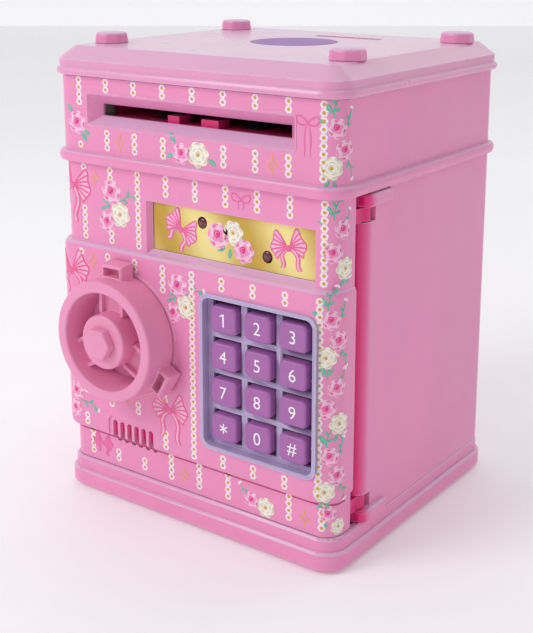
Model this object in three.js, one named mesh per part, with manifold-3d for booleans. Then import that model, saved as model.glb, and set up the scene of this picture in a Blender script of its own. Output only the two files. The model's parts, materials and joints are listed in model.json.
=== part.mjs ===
// Toy safe coin bank: a table-top money box with a hinged keypad door, a wheel knob that throws a
// rack-driven latch bolt, a note slot with a motor-driven feed roller, and a coin slot in the lid.
// Millimetres, +Z up, front towards -Y. Model coordinates have Y = 0 on the front wall of the upper
// housing and X = 0 on the centre plane; the exported group moves the model so that its origin is
// the middle of the footprint.
import * as THREE from "three";
import { mergeVertices } from "three/addons/utils/BufferGeometryUtils.js";
import Module from "manifold-3d";

const wasm = await Module();
wasm.setup();

// ---- Driving dimensions -----------------------------------------------------------------------

const GAP = 0.3; // clearance between pieces that touch or fit into each other
const WALL = 2.4; // moulded wall thickness
const HALF_WIDTH = 65; // body wall, centre plane to side
const DEPTH = 117.4; // body wall, front to back
const CORNER = 8; // plan radius of the body's corners
const RIM = 2.3; // how far the lid flange and the middle bead stand proud of the wall

const Z_FOOT = 1; // underside of the plinth, held off the table by the feet
const Z_STEP = 8; // top of the wide lower step of the plinth
const Z_PLINTH = 13; // top of the plinth
const Z_BAND = 26.5; // top of the door's lower band
const Z_SAFE = 105.2; // top of the door's proud middle section
const Z_BEAD = 136.5; // underside of the middle bead
const BEAD_HEIGHT = 4.5;
const Z_LID = 170; // underside of the lid flange
const FLANGE_HEIGHT = 3;
const Z_CHAMFER = 176; // where the lid's chamfer starts
const Z_TOP = 180.7; // flat top of the lid
const CHAMFER_RUN = 6.4;
const LID_OFFSET = 1.2; // the lid's upright edge, proud of the body wall

// Door sections, as offsets of the body's plan outline (positive is proud of the body wall).
const BAND_OFFSET = -1.2;
const SAFE_OFFSET = 1.7;
const HEAD_OFFSET = -1;
const SAFE_HINGE_SIDE = -0.2; // the same, on the hinge side only
const SAFE_EDGE = 2.6; // rounded edge of the proud middle section
const DOOR_BACK = 13.2; // Y of the door shell's rear edge
const DOOR_TOP = Z_BEAD - GAP;
const DOOR_BOTTOM = Z_PLINTH + GAP;

const COVER_FRONT = DOOR_BACK + GAP; // the cover closes the back of the door shell
const COVER_BACK = COVER_FRONT + 1.6;
const JAMB_FRONT = COVER_BACK + 1.8; // front face of the lower housing
const JAMB_DEPTH = 2.4;
const JAMB_ROUND = 5;
const JAMB_OPENING = 56; // half width of the door opening
const HINGE = { x: 61.8, y: JAMB_FRONT + 4 }; // axis of the door's two hinge pins
const EAR_HEIGHT = 4.6;
const EAR_BACK = HINGE.y + 14;
const KNUCKLE = { radius: 2.9, height: 5 };
const PIN_RADIUS = 1.2;

// The latch bolt slides in the tray of the door cover, just behind the jamb's lip.
const LATCH_FRONT = JAMB_FRONT + JAMB_DEPTH + 2.4;
const LATCH = { front: LATCH_FRONT, back: LATCH_FRONT + 3.2, tip: -54.2, inner: -14, height: 5.4 };
const LATCH_CHAMFER = 2; // lead-in on the front edge of the bolt's tip
const TRAY = { halfWidth: 52, back: LATCH.back + 4.2, bottom: 21, top: 129, wall: 1.8 };

const SLOT = { halfWidth: 43.4, bottom: 155.1, top: 159.4, depth: 5.5 };
const BEZEL = { halfWidth: 48.2, bottom: 151.4, top: 163.8, corner: 1.6 };

const KEYPAD = { x: 33.2, z: 65.9, width: 50.8, height: 59.6, corner: 4.5 };
const KEY = { width: 12.2, height: 11.2, pitchX: 15.3, pitchZ: 13.9, front: -1.8, travel: 1.5 };
const KEY_COLLAR = 0.9; // keeps a key behind the keypad's floor
const KEY_FLOOR = { front: 1.2, back: 2.8 };
const KEY_NAMES = ["1", "2", "3", "4", "5", "6", "7", "8", "9", "star", "0", "hash"];

const PANEL = { left: -18.3, right: 55, bottom: 107.2, top: 124.6, front: 3.4, thickness: 1 };
const LED = { radius: 1.9, spots: [[5, 120], [34, 112.2]] };

const KNOB = { x: -29.4, z: 72.3, back: -2.6, front: -15.3, outer: 23.6, inner: 19.1, hub: 10.6 };
const KNOB_CAP = { radius: 6.4, rise: 3.2 };
const DISC = { radius: 25, rise: 0.4 }; // plain raised disc behind the knob
const GRILLE = { x: -28, bottom: 22.4, top: 36.2, slots: 6, pitch: 3.74, slotWidth: 2.5 };

const SHELF = { bottom: 137.4, top: 139.4 };
const FEED = { y: 20, z: 151.2, shaftRadius: 2, rollerRadius: 5, rollerX: [-22, 18] };
const GEAR_MODULE = 0.75;
const FEED_TEETH = 28;
const MOTOR_TEETH = 14;
const GEAR_BACKLASH = 0.3; // extra centre distance between the feed gears
const COIN_SLOT = { x: 9, y: 94, length: 31, width: 4.4 };
const CHUTE_WALL = 1.4;
const LABEL = { x: 1.5, y: 66, radius: 17, thickness: 0.5 };
const BOLT_SPOTS = [[-54.6, 21.5], [54.6, 21.5], [-54.6, 101.5], [54.6, 101.5]];
const BOLT_HEAD = { radius: 6.9, height: 4.2, corners: 8 };

const RACK_MODULE = 0.75;
const PINION_TEETH = 12;

const BAY = { halfX: 24.4, front: 50, back: 105, top: 19.5, wall: 1.8 };
const BATTERY_COVER_THICKNESS = 2;

// ---- Materials --------------------------------------------------------------------------------

const finish = (color, roughness, metalness = 0) =>
  new THREE.MeshStandardMaterial({ color, roughness, metalness });

const PINK = finish(0xeb98c3, 0.4);
const PALE_PINK = finish(0xecc8e0, 0.35);
const DEEP_PINK = finish(0xd8357f, 0.5);
const KNOB_PINK = finish(0xe28cb2, 0.45);
const PURPLE = finish(0xac6eae, 0.45);
const LAVENDER = finish(0xaf9ec8, 0.45);
const LABEL_PURPLE = finish(0xa578b9, 0.6);
const GOLD = finish(0xe1c878, 0.3, 0.9);
const LED_RED = finish(0x4b192d, 0.2);
const STEEL = finish(0xc0c2c6, 0.3, 1);
const RUBBER = finish(0x202024, 0.9);
const BOARD_GREEN = finish(0x2f6b45, 0.6);
const WHITE_NYLON = finish(0xe9e6de, 0.6);
const SILICONE = finish(0xd9d4dc, 0.8);

// ---- Solids: three.js geometry in, joined and cut with manifold-3d ----------------------------

function solid(geometry) {
  const bare = geometry.clone();
  bare.deleteAttribute("normal");
  bare.deleteAttribute("uv");
  const merged = mergeVertices(bare, 1e-4);
  return new wasm.Manifold(
    new wasm.Mesh({
      numProp: 3,
      vertProperties: merged.attributes.position.array,
      triVerts: new Uint32Array(merged.index.array),
    }),
  );
}

function geometryOf(body) {
  const { vertProperties, triVerts, numProp } = body.getMesh();
  const positions = new Float32Array((vertProperties.length / numProp) * 3);
  for (let i = 0; i < positions.length / 3; i += 1) {
    for (let axis = 0; axis < 3; axis += 1) {
      positions[i * 3 + axis] = vertProperties[i * numProp + axis];
    }
  }
  const geometry = new THREE.BufferGeometry();
  geometry.setAttribute("position", new THREE.BufferAttribute(positions, 3));
  geometry.setIndex(new THREE.BufferAttribute(new Uint32Array(triVerts), 1));
  const faceted = geometry.toNonIndexed();
  faceted.computeVertexNormals();
  return faceted;
}

const join = (...bodies) => bodies.reduce((sum, body) => sum.add(body));
const cut = (body, ...tools) => tools.reduce((left, tool) => left.subtract(tool), body);

// ---- Shapes -----------------------------------------------------------------------------------

function roundedRect(x0, y0, x1, y1, r) {
  const shape = new THREE.Shape();
  shape.moveTo(x0 + r, y0);
  shape.lineTo(x1 - r, y0);
  shape.absarc(x1 - r, y0 + r, r, -Math.PI / 2, 0, false);
  shape.lineTo(x1, y1 - r);
  shape.absarc(x1 - r, y1 - r, r, 0, Math.PI / 2, false);
  shape.lineTo(x0 + r, y1);
  shape.absarc(x0 + r, y1 - r, r, Math.PI / 2, Math.PI, false);
  shape.lineTo(x0, y0 + r);
  shape.absarc(x0 + r, y0 + r, r, Math.PI, 1.5 * Math.PI, false);
  return shape;
}

// The body's plan outline, grown by an offset.
function plan(offset) {
  return roundedRect(
    -HALF_WIDTH - offset, -offset, HALF_WIDTH + offset, DEPTH + offset, CORNER + offset,
  );
}

// The proud middle section of the door: proud on three sides, nearly flush on the hinge side.
function safePlan(inset) {
  return roundedRect(
    -HALF_WIDTH - SAFE_OFFSET + inset, -SAFE_OFFSET + inset,
    HALF_WIDTH + SAFE_HINGE_SIDE - inset, DEPTH + SAFE_OFFSET - inset,
    CORNER + SAFE_OFFSET - inset,
  );
}

function polygon(points) {
  return new THREE.Shape(points.map(([x, y]) => new THREE.Vector2(x, y)));
}

function regularPolygon(radius, corners, turn = 0) {
  const points = [];
  for (let i = 0; i < corners; i += 1) {
    const angle = turn + (2 * Math.PI * i) / corners;
    points.push([radius * Math.cos(angle), radius * Math.sin(angle)]);
  }
  return polygon(points);
}

// Extrudes along +Z a shape drawn in X and Y. An edge of the given size rounds both ends.
function prism(shape, z0, z1, { edge = 0, steps = 2, curveSegments = 7 } = {}) {
  const geometry = new THREE.ExtrudeGeometry(shape, {
    depth: z1 - z0 - 2 * edge,
    bevelEnabled: edge > 0,
    bevelThickness: edge,
    bevelSize: edge,
    bevelOffset: -edge,
    bevelSegments: steps,
    curveSegments,
  });
  return solid(geometry.translate(0, 0, z0 + edge));
}

// Extrudes along +Y a shape drawn in X and Z.
function slab(shape, y0, y1, options = {}) {
  return prism(shape, -y1, -y0, options).rotate([90, 0, 0]);
}

// Extrudes along +X a shape drawn in Y and Z.
function bar(shape, x0, x1, options = {}) {
  return prism(shape, x0, x1, options).rotate([90, 0, 90]);
}

function block(x0, x1, y0, y1, z0, z1) {
  const box = new THREE.BoxGeometry(x1 - x0, y1 - y0, z1 - z0);
  return solid(box.translate((x0 + x1) / 2, (y0 + y1) / 2, (z0 + z1) / 2));
}

const AXES = { x: [0, 90, 0], y: [90, 0, 0], z: [0, 0, 0] };

// A round bar between two places on one axis; centre holds the other two coordinates in order.
function rod(axis, radius, from, to, centre, segments = 24) {
  const flat = solid(
    new THREE.CylinderGeometry(radius, radius, to - from, segments).rotateX(Math.PI / 2),
  ).rotate(AXES[axis]);
  const middle = (from + to) / 2;
  const place = {
    x: [middle, centre[0], centre[1]],
    y: [centre[0], middle, centre[1]],
    z: [centre[0], centre[1], middle],
  };
  return flat.translate(place[axis]);
}

// Turns a profile of [radius, height] points about the Y axis; height runs towards -Y (the front).
function turned(points, segments) {
  const profile = points.map(([r, h]) => new THREE.Vector2(r, h));
  return solid(new THREE.LatheGeometry(profile, segments)).rotate([180, 0, 0]);
}

// A spur gear outline with true involute flanks on stub teeth.
function gearShape(teeth, module, { addendum = 0.7, dedendum = 1.05, thinning = 0.12 } = {}) {
  const pressure = (20 * Math.PI) / 180;
  const pitch = (teeth * module) / 2;
  const base = pitch * Math.cos(pressure);
  const tip = pitch + addendum * module;
  const root = pitch - dedendum * module;
  const involute = (angle) => Math.tan(angle) - angle;
  const halfTooth = Math.PI / (2 * teeth) - thinning / (2 * pitch);
  const flankSteps = 2;
  const points = [];
  for (let tooth = 0; tooth < teeth; tooth += 1) {
    const middle = (2 * Math.PI * tooth) / teeth;
    const flank = [];
    for (let i = 0; i <= flankSteps; i += 1) {
      const radius = Math.max(base, root) + ((tip - Math.max(base, root)) * i) / flankSteps;
      const swept = involute(Math.acos(Math.min(1, base / radius)));
      flank.push([radius, halfTooth + involute(pressure) - swept]);
    }
    if (root < base) flank.unshift([root, flank[0][1]]);
    const rising = flank.map(([r, a]) => [r, middle - a]);
    const falling = flank.map(([r, a]) => [r, middle + a]).reverse();
    points.push(...rising, ...falling);
  }
  return polygon(points.map(([r, a]) => [r * Math.cos(a), r * Math.sin(a)]));
}

// ---- The scene --------------------------------------------------------------------------------

const bank = new THREE.Group();
const frontMost = KNOB.front - KNOB_CAP.rise;
const backMost = DEPTH + RIM;
bank.position.y = -(frontMost + backMost) / 2;

function place(name, body, material) {
  const mesh = new THREE.Mesh(geometryOf(body), material);
  mesh.name = name;
  bank.add(mesh);
}

// ---- Base -------------------------------------------------------------------------------------

const FOOT_SPOTS = {
  front_left: [-50, 14], front_right: [50, 14], rear_left: [-50, 104], rear_right: [50, 104],
};
const FOOT = { radius: 5, top: 1.6, recess: 1.9 };

function buildBase() {
  const steps = join(
    prism(plan(1.6), Z_FOOT, Z_STEP, { edge: 0.8, steps: 1 }),
    prism(plan(0.2), Z_STEP - 1, Z_PLINTH, { edge: 0.8, steps: 1 }),
  );
  // A hollow tray, open upwards, with the battery bay standing on its floor.
  const floorTop = Z_FOOT + WALL;
  const hollow = prism(plan(-2.6), floorTop, Z_PLINTH + 1);
  const bayOuter = block(
    -BAY.halfX - BAY.wall, BAY.halfX + BAY.wall,
    BAY.front - BAY.wall, BAY.back + BAY.wall, Z_FOOT, BAY.top + BAY.wall,
  );
  const bayInner = block(-BAY.halfX, BAY.halfX, BAY.front, BAY.back, Z_FOOT - 1, BAY.top);
  const coverSeat = block(
    -BAY.halfX - 1.2, BAY.halfX + 1.2, BAY.front - 1.2, BAY.back + 1.2,
    Z_FOOT - 1, Z_FOOT + BATTERY_COVER_THICKNESS + GAP,
  );
  const screwBoss = rod("z", 3.4, Z_FOOT, floorTop + 6, [0, BAY.front - 5.5], 16);
  const screwHole = rod("z", 1.5, Z_FOOT - 1, floorTop + 5, [0, BAY.front - 5.5], 12);
  const tongueSeat = block(-6, 6, BAY.front - 10, BAY.front, Z_FOOT - 1, Z_FOOT + 2.3);
  const footRecesses = Object.values(FOOT_SPOTS).map((spot) =>
    rod("z", FOOT.radius + GAP, Z_FOOT - 1, FOOT.recess, spot, 24));
  const tray = join(cut(steps, hollow), bayOuter, screwBoss);
  place("base_plinth", cut(tray, bayInner, coverSeat, tongueSeat, screwHole, ...footRecesses), PINK);

  for (const [name, spot] of Object.entries(FOOT_SPOTS)) {
    place(`foot_${name}`, rod("z", FOOT.radius, 0, FOOT.top, spot, 24), RUBBER);
  }

  const coverTop = Z_FOOT + BATTERY_COVER_THICKNESS;
  const cover = join(
    block(-BAY.halfX - 0.9, BAY.halfX + 0.9, BAY.front - 0.9, BAY.back + 0.9, Z_FOOT, coverTop),
    block(-5.7, 5.7, BAY.front - 9.7, BAY.front, Z_FOOT, coverTop),
  );
  const clearance = rod("z", 1.5, 0, coverTop + 1, [0, BAY.front - 5.5], 12);
  const counterbore = rod("z", 2.9, 0, Z_FOOT + 1.1, [0, BAY.front - 5.5], 16);
  place("battery_cover", cut(cover, clearance, counterbore), PINK);
  place("battery_cover_screw", join(
    rod("z", 1.1, Z_FOOT + 0.4, Z_FOOT + 6.6, [0, BAY.front - 5.5], 12),
    rod("z", 2.5, Z_FOOT, Z_FOOT + 0.8, [0, BAY.front - 5.5], 16),
  ), STEEL);

  // Sprung and flat contact plates at the two ends of the three cells.
  const cellPitch = (2 * BAY.halfX) / 3;
  const contact = (y0, y1, bumpY0, bumpY1) => {
    const plate = block(-BAY.halfX + 1.5, BAY.halfX - 1.5, y0, y1, 5, 15);
    const bumps = [-1, 0, 1].map((i) => rod("y", 3, bumpY0, bumpY1, [i * cellPitch, 10.4], 12));
    return join(plate, ...bumps);
  };
  place("battery_contact_front", contact(
    BAY.front + GAP, BAY.front + 0.9, BAY.front + 0.6, BAY.front + 3.2), STEEL);
  place("battery_contact_rear", contact(
    BAY.back - 0.9, BAY.back - GAP, BAY.back - 1.4, BAY.back - 0.6), STEEL);
}

// ---- Lower housing ----------------------------------------------------------------------------

function lowerHousingPlan() {
  const shape = new THREE.Shape();
  const wallX = HALF_WIDTH;
  const jambX = HALF_WIDTH - JAMB_ROUND;
  const jambArcY = JAMB_FRONT + JAMB_ROUND;
  const rearX = HALF_WIDTH - CORNER;
  const rearY = DEPTH - CORNER;
  const innerRound = JAMB_ROUND - JAMB_DEPTH;
  const innerCorner = CORNER - WALL;
  const right = 0;
  const up = Math.PI / 2;
  const left = Math.PI;
  const down = 1.5 * Math.PI;
  shape.moveTo(JAMB_OPENING, JAMB_FRONT);
  shape.absarc(jambX, jambArcY, JAMB_ROUND, down, 2 * Math.PI, false);
  shape.lineTo(wallX, rearY);
  shape.absarc(rearX, rearY, CORNER, right, up, false);
  shape.absarc(-rearX, rearY, CORNER, up, left, false);
  shape.lineTo(-wallX, jambArcY);
  shape.absarc(-jambX, jambArcY, JAMB_ROUND, left, down, false);
  shape.lineTo(-JAMB_OPENING, JAMB_FRONT);
  shape.lineTo(-JAMB_OPENING, JAMB_FRONT + JAMB_DEPTH);
  shape.absarc(-jambX, jambArcY, innerRound, down, left, true);
  shape.absarc(-rearX, rearY, innerCorner, left, up, true);
  shape.absarc(rearX, rearY, innerCorner, up, right, true);
  shape.absarc(jambX, jambArcY, innerRound, 2 * Math.PI, down, true);
  shape.lineTo(JAMB_OPENING, JAMB_FRONT + JAMB_DEPTH);
  return shape;
}

const EAR_TOP = Z_BEAD - 0.6;
const LOWER_EAR_BOTTOM = Z_PLINTH + GAP;

// A hinge ear: a rounded tab on the side wall that holds one end of a hinge pin.
function hingeEar(z0) {
  const tab = roundedRect(HINGE.x - 3.2, HINGE.y - 3.4, HALF_WIDTH + 1.9, EAR_BACK, 2.6);
  return prism(tab, z0, z0 + EAR_HEIGHT, { edge: 0.6, steps: 1, curveSegments: 4 });
}

function buildLowerHousing() {
  const walls = prism(lowerHousingPlan(), Z_PLINTH + GAP, Z_BEAD - GAP);
  const upperEarBottom = EAR_TOP - EAR_HEIGHT;
  const notch = (z0, z1) =>
    block(HINGE.x - 4.2, HALF_WIDTH + 3, JAMB_FRONT - 1, HINGE.y + KNUCKLE.radius + 3 * GAP, z0, z1);
  const lowerEarTop = LOWER_EAR_BOTTOM + EAR_HEIGHT;
  const ears = join(hingeEar(upperEarBottom), hingeEar(LOWER_EAR_BOTTOM));
  const pinHoles = [
    rod("z", PIN_RADIUS + GAP, upperEarBottom - 1, EAR_TOP - 0.9, [HINGE.x, HINGE.y], 16),
    rod("z", PIN_RADIUS + GAP, LOWER_EAR_BOTTOM + 0.9, lowerEarTop + 1, [HINGE.x, HINGE.y], 16),
  ];
  // Corner posts take the screws of the shelf and of the upper housing.
  const posts = [-1, 1].map((side) =>
    block(side < 0 ? -HALF_WIDTH + 1 : HALF_WIDTH - 9, side < 0 ? -HALF_WIDTH + 9 : HALF_WIDTH - 1,
      DEPTH - 20, DEPTH - 12, 60, SHELF.bottom - 1.5));
  const bodyWithNotches = cut(
    join(walls, ...posts),
    notch(upperEarBottom - KNUCKLE.height - 2 * GAP, upperEarBottom),
    notch(lowerEarTop, lowerEarTop + KNUCKLE.height + 2 * GAP),
  );
  place("lower_housing", cut(join(bodyWithNotches, ears), ...pinHoles), PINK);

  const upperPin = [upperEarBottom - KNUCKLE.height + 0.2, EAR_TOP - 1.2];
  const lowerPin = [LOWER_EAR_BOTTOM + 1.2, lowerEarTop + KNUCKLE.height - 0.2];
  place("hinge_pin_upper", rod("z", PIN_RADIUS, ...upperPin, [HINGE.x, HINGE.y], 16), STEEL);
  place("hinge_pin_lower", rod("z", PIN_RADIUS, ...lowerPin, [HINGE.x, HINGE.y], 16), STEEL);
}

// ---- Upper housing, bezel and lid -------------------------------------------------------------

function buildUpperHousing() {
  const outside = join(
    prism(plan(0), Z_BEAD + 1, Z_LID - GAP),
    prism(plan(RIM), Z_BEAD, Z_BEAD + BEAD_HEIGHT, { edge: 1.6, steps: 2 }),
  );
  const inside = prism(plan(-WALL), Z_BEAD - 1, Z_LID + 1);
  const window = slab(roundedRect(
    -BEZEL.halfWidth - GAP, BEZEL.bottom - GAP, BEZEL.halfWidth + GAP, BEZEL.top + GAP, BEZEL.corner,
  ), -1, WALL + 1, { curveSegments: 3 });
  place("upper_housing", cut(outside, inside, window), PINK);

  // The note slot's bezel: a funnel from its rim down to the slot, open at the back.
  const front = 0.1;
  const back = SLOT.depth;
  const frame = slab(roundedRect(
    -BEZEL.halfWidth, BEZEL.bottom, BEZEL.halfWidth, BEZEL.top, BEZEL.corner,
  ), front - 0.3, back, { curveSegments: 3 });
  const throat = slab(polygon([
    [-SLOT.halfWidth, SLOT.bottom], [SLOT.halfWidth, SLOT.bottom],
    [SLOT.halfWidth, SLOT.top], [-SLOT.halfWidth, SLOT.top],
  ]), -2, back + 1);
  const mouth = { x: BEZEL.halfWidth - 0.6, bottom: BEZEL.bottom + 0.6, top: BEZEL.top - 0.6 };
  const funnel = frustum(
    [-mouth.x, mouth.x, mouth.bottom, mouth.top], front - 0.4,
    [-SLOT.halfWidth, SLOT.halfWidth, SLOT.bottom, SLOT.top], back - 1.1,
  );
  place("note_slot_bezel", cut(frame, throat, funnel), PALE_PINK);
}

// A four-sided taper along Y between two rectangles given as [x0, x1, z0, z1].
function frustum(near, yNear, far, yFar) {
  const corners = ([x0, x1, z0, z1], y) => [[x0, y, z0], [x1, y, z0], [x1, y, z1], [x0, y, z1]];
  const vertices = [...corners(near, yNear), ...corners(far, yFar)];
  const faces = [
    [0, 1, 2], [0, 2, 3], [4, 6, 5], [4, 7, 6],
    [0, 5, 1], [0, 4, 5], [1, 6, 2], [1, 5, 6],
    [2, 7, 3], [2, 6, 7], [3, 4, 0], [3, 7, 4],
  ];
  const geometry = new THREE.BufferGeometry();
  geometry.setAttribute("position", new THREE.Float32BufferAttribute(vertices.flat(), 3));
  geometry.setIndex(faces.flat());
  return solid(geometry);
}

function buildLid() {
  const upright = prism(plan(LID_OFFSET), Z_LID + 1, Z_CHAMFER + 0.01);
  // The chamfer runs further in than it rises.
  const taper = taperedPlate(LID_OFFSET, Z_CHAMFER, LID_OFFSET - CHAMFER_RUN, Z_TOP);
  const flange = prism(plan(RIM), Z_LID, Z_LID + FLANGE_HEIGHT, { edge: 1.2, steps: 2 });
  const hollow = prism(plan(-CHAMFER_RUN - 0.6), Z_LID - 1, Z_TOP - WALL);
  const labelSeat = rod("z", LABEL.radius + GAP, Z_TOP - 0.7, Z_TOP + 1, [LABEL.x, LABEL.y], 40);
  const coinSlot = block(
    COIN_SLOT.x - COIN_SLOT.length / 2, COIN_SLOT.x + COIN_SLOT.length / 2,
    COIN_SLOT.y - COIN_SLOT.width / 2, COIN_SLOT.y + COIN_SLOT.width / 2, Z_TOP - 6, Z_TOP + 1,
  );
  const studHoles = BOLT_SPOTS.map(([x, y]) =>
    rod("z", 2.3, Z_CHAMFER, Z_TOP + 1, [x, y], 12));
  place("lid", cut(join(upright, taper, flange), hollow, labelSeat, coinSlot, ...studHoles), PALE_PINK);

  place("lid_label", rod("z", LABEL.radius, Z_TOP - 0.4, Z_TOP - 0.4 + LABEL.thickness,
    [LABEL.x, LABEL.y], 40), LABEL_PURPLE);

  const names = ["front_left", "front_right", "rear_left", "rear_right"];
  BOLT_SPOTS.forEach(([x, y], i) => {
    const head = regularPolygon(BOLT_HEAD.radius, BOLT_HEAD.corners, Math.PI / BOLT_HEAD.corners);
    const cap = prism(head, Z_TOP + GAP, Z_TOP + BOLT_HEAD.height, { edge: 0.7, steps: 1 });
    const stud = prism(regularPolygon(2, 12), Z_TOP - 2, Z_TOP + 1);
    place(`lid_bolt_${names[i]}`, join(cap, stud).translate([x, y, 0]), PINK);
  });
}

// A plate whose rounded-rectangle outline shrinks evenly from one height to another.
function taperedPlate(offset0, z0, offset1, z1) {
  const cornerSteps = 7;
  const ring = (offset, z) => {
    const radius = CORNER + offset;
    const centres = [
      [HALF_WIDTH - CORNER, CORNER, -90], [HALF_WIDTH - CORNER, DEPTH - CORNER, 0],
      [CORNER - HALF_WIDTH, DEPTH - CORNER, 90], [CORNER - HALF_WIDTH, CORNER, 180],
    ];
    return centres.flatMap(([x, y, start]) =>
      Array.from({ length: cornerSteps + 1 }, (_, i) => {
        const angle = ((start + (90 * i) / cornerSteps) * Math.PI) / 180;
        return [x + radius * Math.cos(angle), y + radius * Math.sin(angle), z];
      }));
  };
  const lower = ring(offset0, z0);
  const upper = ring(offset1, z1);
  const count = lower.length;
  const vertices = [...lower, ...upper, [0, DEPTH / 2, z0], [0, DEPTH / 2, z1]];
  const faces = [];
  for (let i = 0; i < count; i += 1) {
    const next = (i + 1) % count;
    faces.push([i, next, count + next], [i, count + next, count + i]);
    faces.push([next, i, 2 * count], [count + i, count + next, 2 * count + 1]);
  }
  const geometry = new THREE.BufferGeometry();
  geometry.setAttribute("position", new THREE.Float32BufferAttribute(vertices.flat(), 3));
  geometry.setIndex(faces.flat());
  return solid(geometry);
}

// ---- Shelf, note feed and coin chute ----------------------------------------------------------

const CHUTE = {
  x0: COIN_SLOT.x - COIN_SLOT.length / 2 - 1, x1: COIN_SLOT.x + COIN_SLOT.length / 2 + 1,
  y0: COIN_SLOT.y - COIN_SLOT.width / 2 - 1, y1: COIN_SLOT.y + COIN_SLOT.width / 2 + 1,
};
const BRACKET = { leftX: -46, rightX: 45.6, thickness: 2.4, halfDepth: 5 };
const GEAR_X = [-52.5, -49.5];
const NOTE_GUIDE = {
  left: -44, right: 43, back: FEED.y + 7.5, under: SLOT.bottom - 1.6, top: SLOT.bottom - 0.6,
};
const NOTE_DROP = { halfWidth: 43, front: FEED.y + 9, back: FEED.y + 22 };
// The motor sits above and behind the shaft, on the line through one of the gear's tooth centres.
const CENTRE_LINE = (5 * 2 * Math.PI) / FEED_TEETH;
const GEAR_CENTRES = ((FEED_TEETH + MOTOR_TEETH) * GEAR_MODULE) / 2 + GEAR_BACKLASH;
const MOTOR = {
  y: FEED.y + GEAR_CENTRES * Math.cos(CENTRE_LINE),
  z: FEED.z + GEAR_CENTRES * Math.sin(CENTRE_LINE),
  radius: 7,
};

function buildMechanism() {
  const plate = prism(plan(-WALL - GAP), SHELF.bottom, SHELF.top);
  const noteDrop = block(
    -NOTE_DROP.halfWidth, NOTE_DROP.halfWidth, NOTE_DROP.front, NOTE_DROP.back,
    SHELF.bottom - 1, SHELF.top + 1);
  const coinDrop = block(
    CHUTE.x0 - CHUTE_WALL - GAP, CHUTE.x1 + CHUTE_WALL + GAP,
    CHUTE.y0 - CHUTE_WALL - GAP, CHUTE.y1 + CHUTE_WALL + GAP, SHELF.bottom - 1, SHELF.top + 1,
  );
  const bracket = (x, back, top) => block(
    x - BRACKET.thickness / 2, x + BRACKET.thickness / 2,
    FEED.y - BRACKET.halfDepth, back, SHELF.top - 0.5, top);
  const bearings = rod("x", FEED.shaftRadius + GAP, -60, 60, [FEED.y, FEED.z], 16);
  const noseHole = rod("x", 3 + GAP, -60, -40, [MOTOR.y, MOTOR.z], 16);
  const shelf = join(
    cut(plate, noteDrop, coinDrop),
    bracket(BRACKET.leftX, MOTOR.y + BRACKET.halfDepth, MOTOR.z + BRACKET.halfDepth),
    bracket(BRACKET.rightX, FEED.y + BRACKET.halfDepth, FEED.z + BRACKET.halfDepth),
  );
  place("mechanism_shelf", cut(shelf, bearings, noseHole), DEEP_PINK);

  // Lower note guide: a ramp behind the slot, with windows for the two rollers.
  const ramp = bar(polygon([
    [SLOT.depth + GAP, NOTE_GUIDE.under], [SLOT.depth + GAP, NOTE_GUIDE.top],
    [NOTE_GUIDE.back, NOTE_GUIDE.top], [NOTE_GUIDE.back, NOTE_GUIDE.under],
  ]), NOTE_GUIDE.left, NOTE_GUIDE.right);
  const legs = [-38, 0, 36].map((x) =>
    block(x - 1, x + 1, 7, 12.5, SHELF.top + GAP, NOTE_GUIDE.under + 0.1));
  const windows = FEED.rollerX.map((x) =>
    block(x - 5.5, x + 5.5, FEED.y - 6.6, FEED.y + 9, SLOT.bottom - 6, SLOT.bottom + 1));
  place("note_guide", cut(join(ramp, ...legs), ...windows), DEEP_PINK);

  // Feed shaft, two rubber rollers and the driven gear.
  place("feed_shaft", rod("x", FEED.shaftRadius, -56, 48.5, [FEED.y, FEED.z], 16), STEEL);
  FEED.rollerX.forEach((x, i) => {
    place(`feed_roller_${i ? "right" : "left"}`, cut(
      rod("x", FEED.rollerRadius, x - 4, x + 4, [FEED.y, FEED.z], 28),
      rod("x", FEED.shaftRadius + GAP, x - 5, x + 5, [FEED.y, FEED.z], 16),
    ), RUBBER);
  });
  place("feed_gear", cut(
    bar(gearShape(FEED_TEETH, GEAR_MODULE), ...GEAR_X).translate([0, FEED.y, FEED.z]),
    rod("x", FEED.shaftRadius + GAP, -60, -40, [FEED.y, FEED.z], 16),
  ), WHITE_NYLON);

  // The centre line meets the pinion between two of its teeth, so gear and pinion are in mesh.
  const pinion = bar(gearShape(MOTOR_TEETH, GEAR_MODULE), ...GEAR_X);
  const pinionShaft = rod("x", 0.9, GEAR_X[1] - 1, BRACKET.leftX - 2, [0, 0], 12);
  place("motor_pinion", join(pinion, pinionShaft).translate([0, MOTOR.y, MOTOR.z]), WHITE_NYLON);
  const canLeft = BRACKET.leftX + BRACKET.thickness / 2 + GAP;
  place("feed_motor", join(
    rod("x", MOTOR.radius, canLeft, canLeft + 25, [MOTOR.y, MOTOR.z], 24),
    rod("x", 3, BRACKET.leftX - 1.5, canLeft + 1, [MOTOR.y, MOTOR.z], 16),
  ), STEEL);

  // The coin chute: a square tube from the lid down through the shelf.
  const tube = cut(
    block(CHUTE.x0 - CHUTE_WALL, CHUTE.x1 + CHUTE_WALL, CHUTE.y0 - CHUTE_WALL, CHUTE.y1 + CHUTE_WALL,
      SHELF.bottom - 6, Z_TOP - WALL - GAP),
    block(CHUTE.x0, CHUTE.x1, CHUTE.y0, CHUTE.y1, SHELF.bottom - 8, Z_TOP),
  );
  const collar = cut(
    block(CHUTE.x0 - 4, CHUTE.x1 + 4, CHUTE.y0 - 4, CHUTE.y1 + 4, SHELF.top + GAP, SHELF.top + 1.8),
    block(CHUTE.x0, CHUTE.x1, CHUTE.y0, CHUTE.y1, SHELF.bottom, Z_TOP),
  );
  place("coin_chute", join(tube, collar), DEEP_PINK);
}

// ---- Door shell -------------------------------------------------------------------------------

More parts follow.
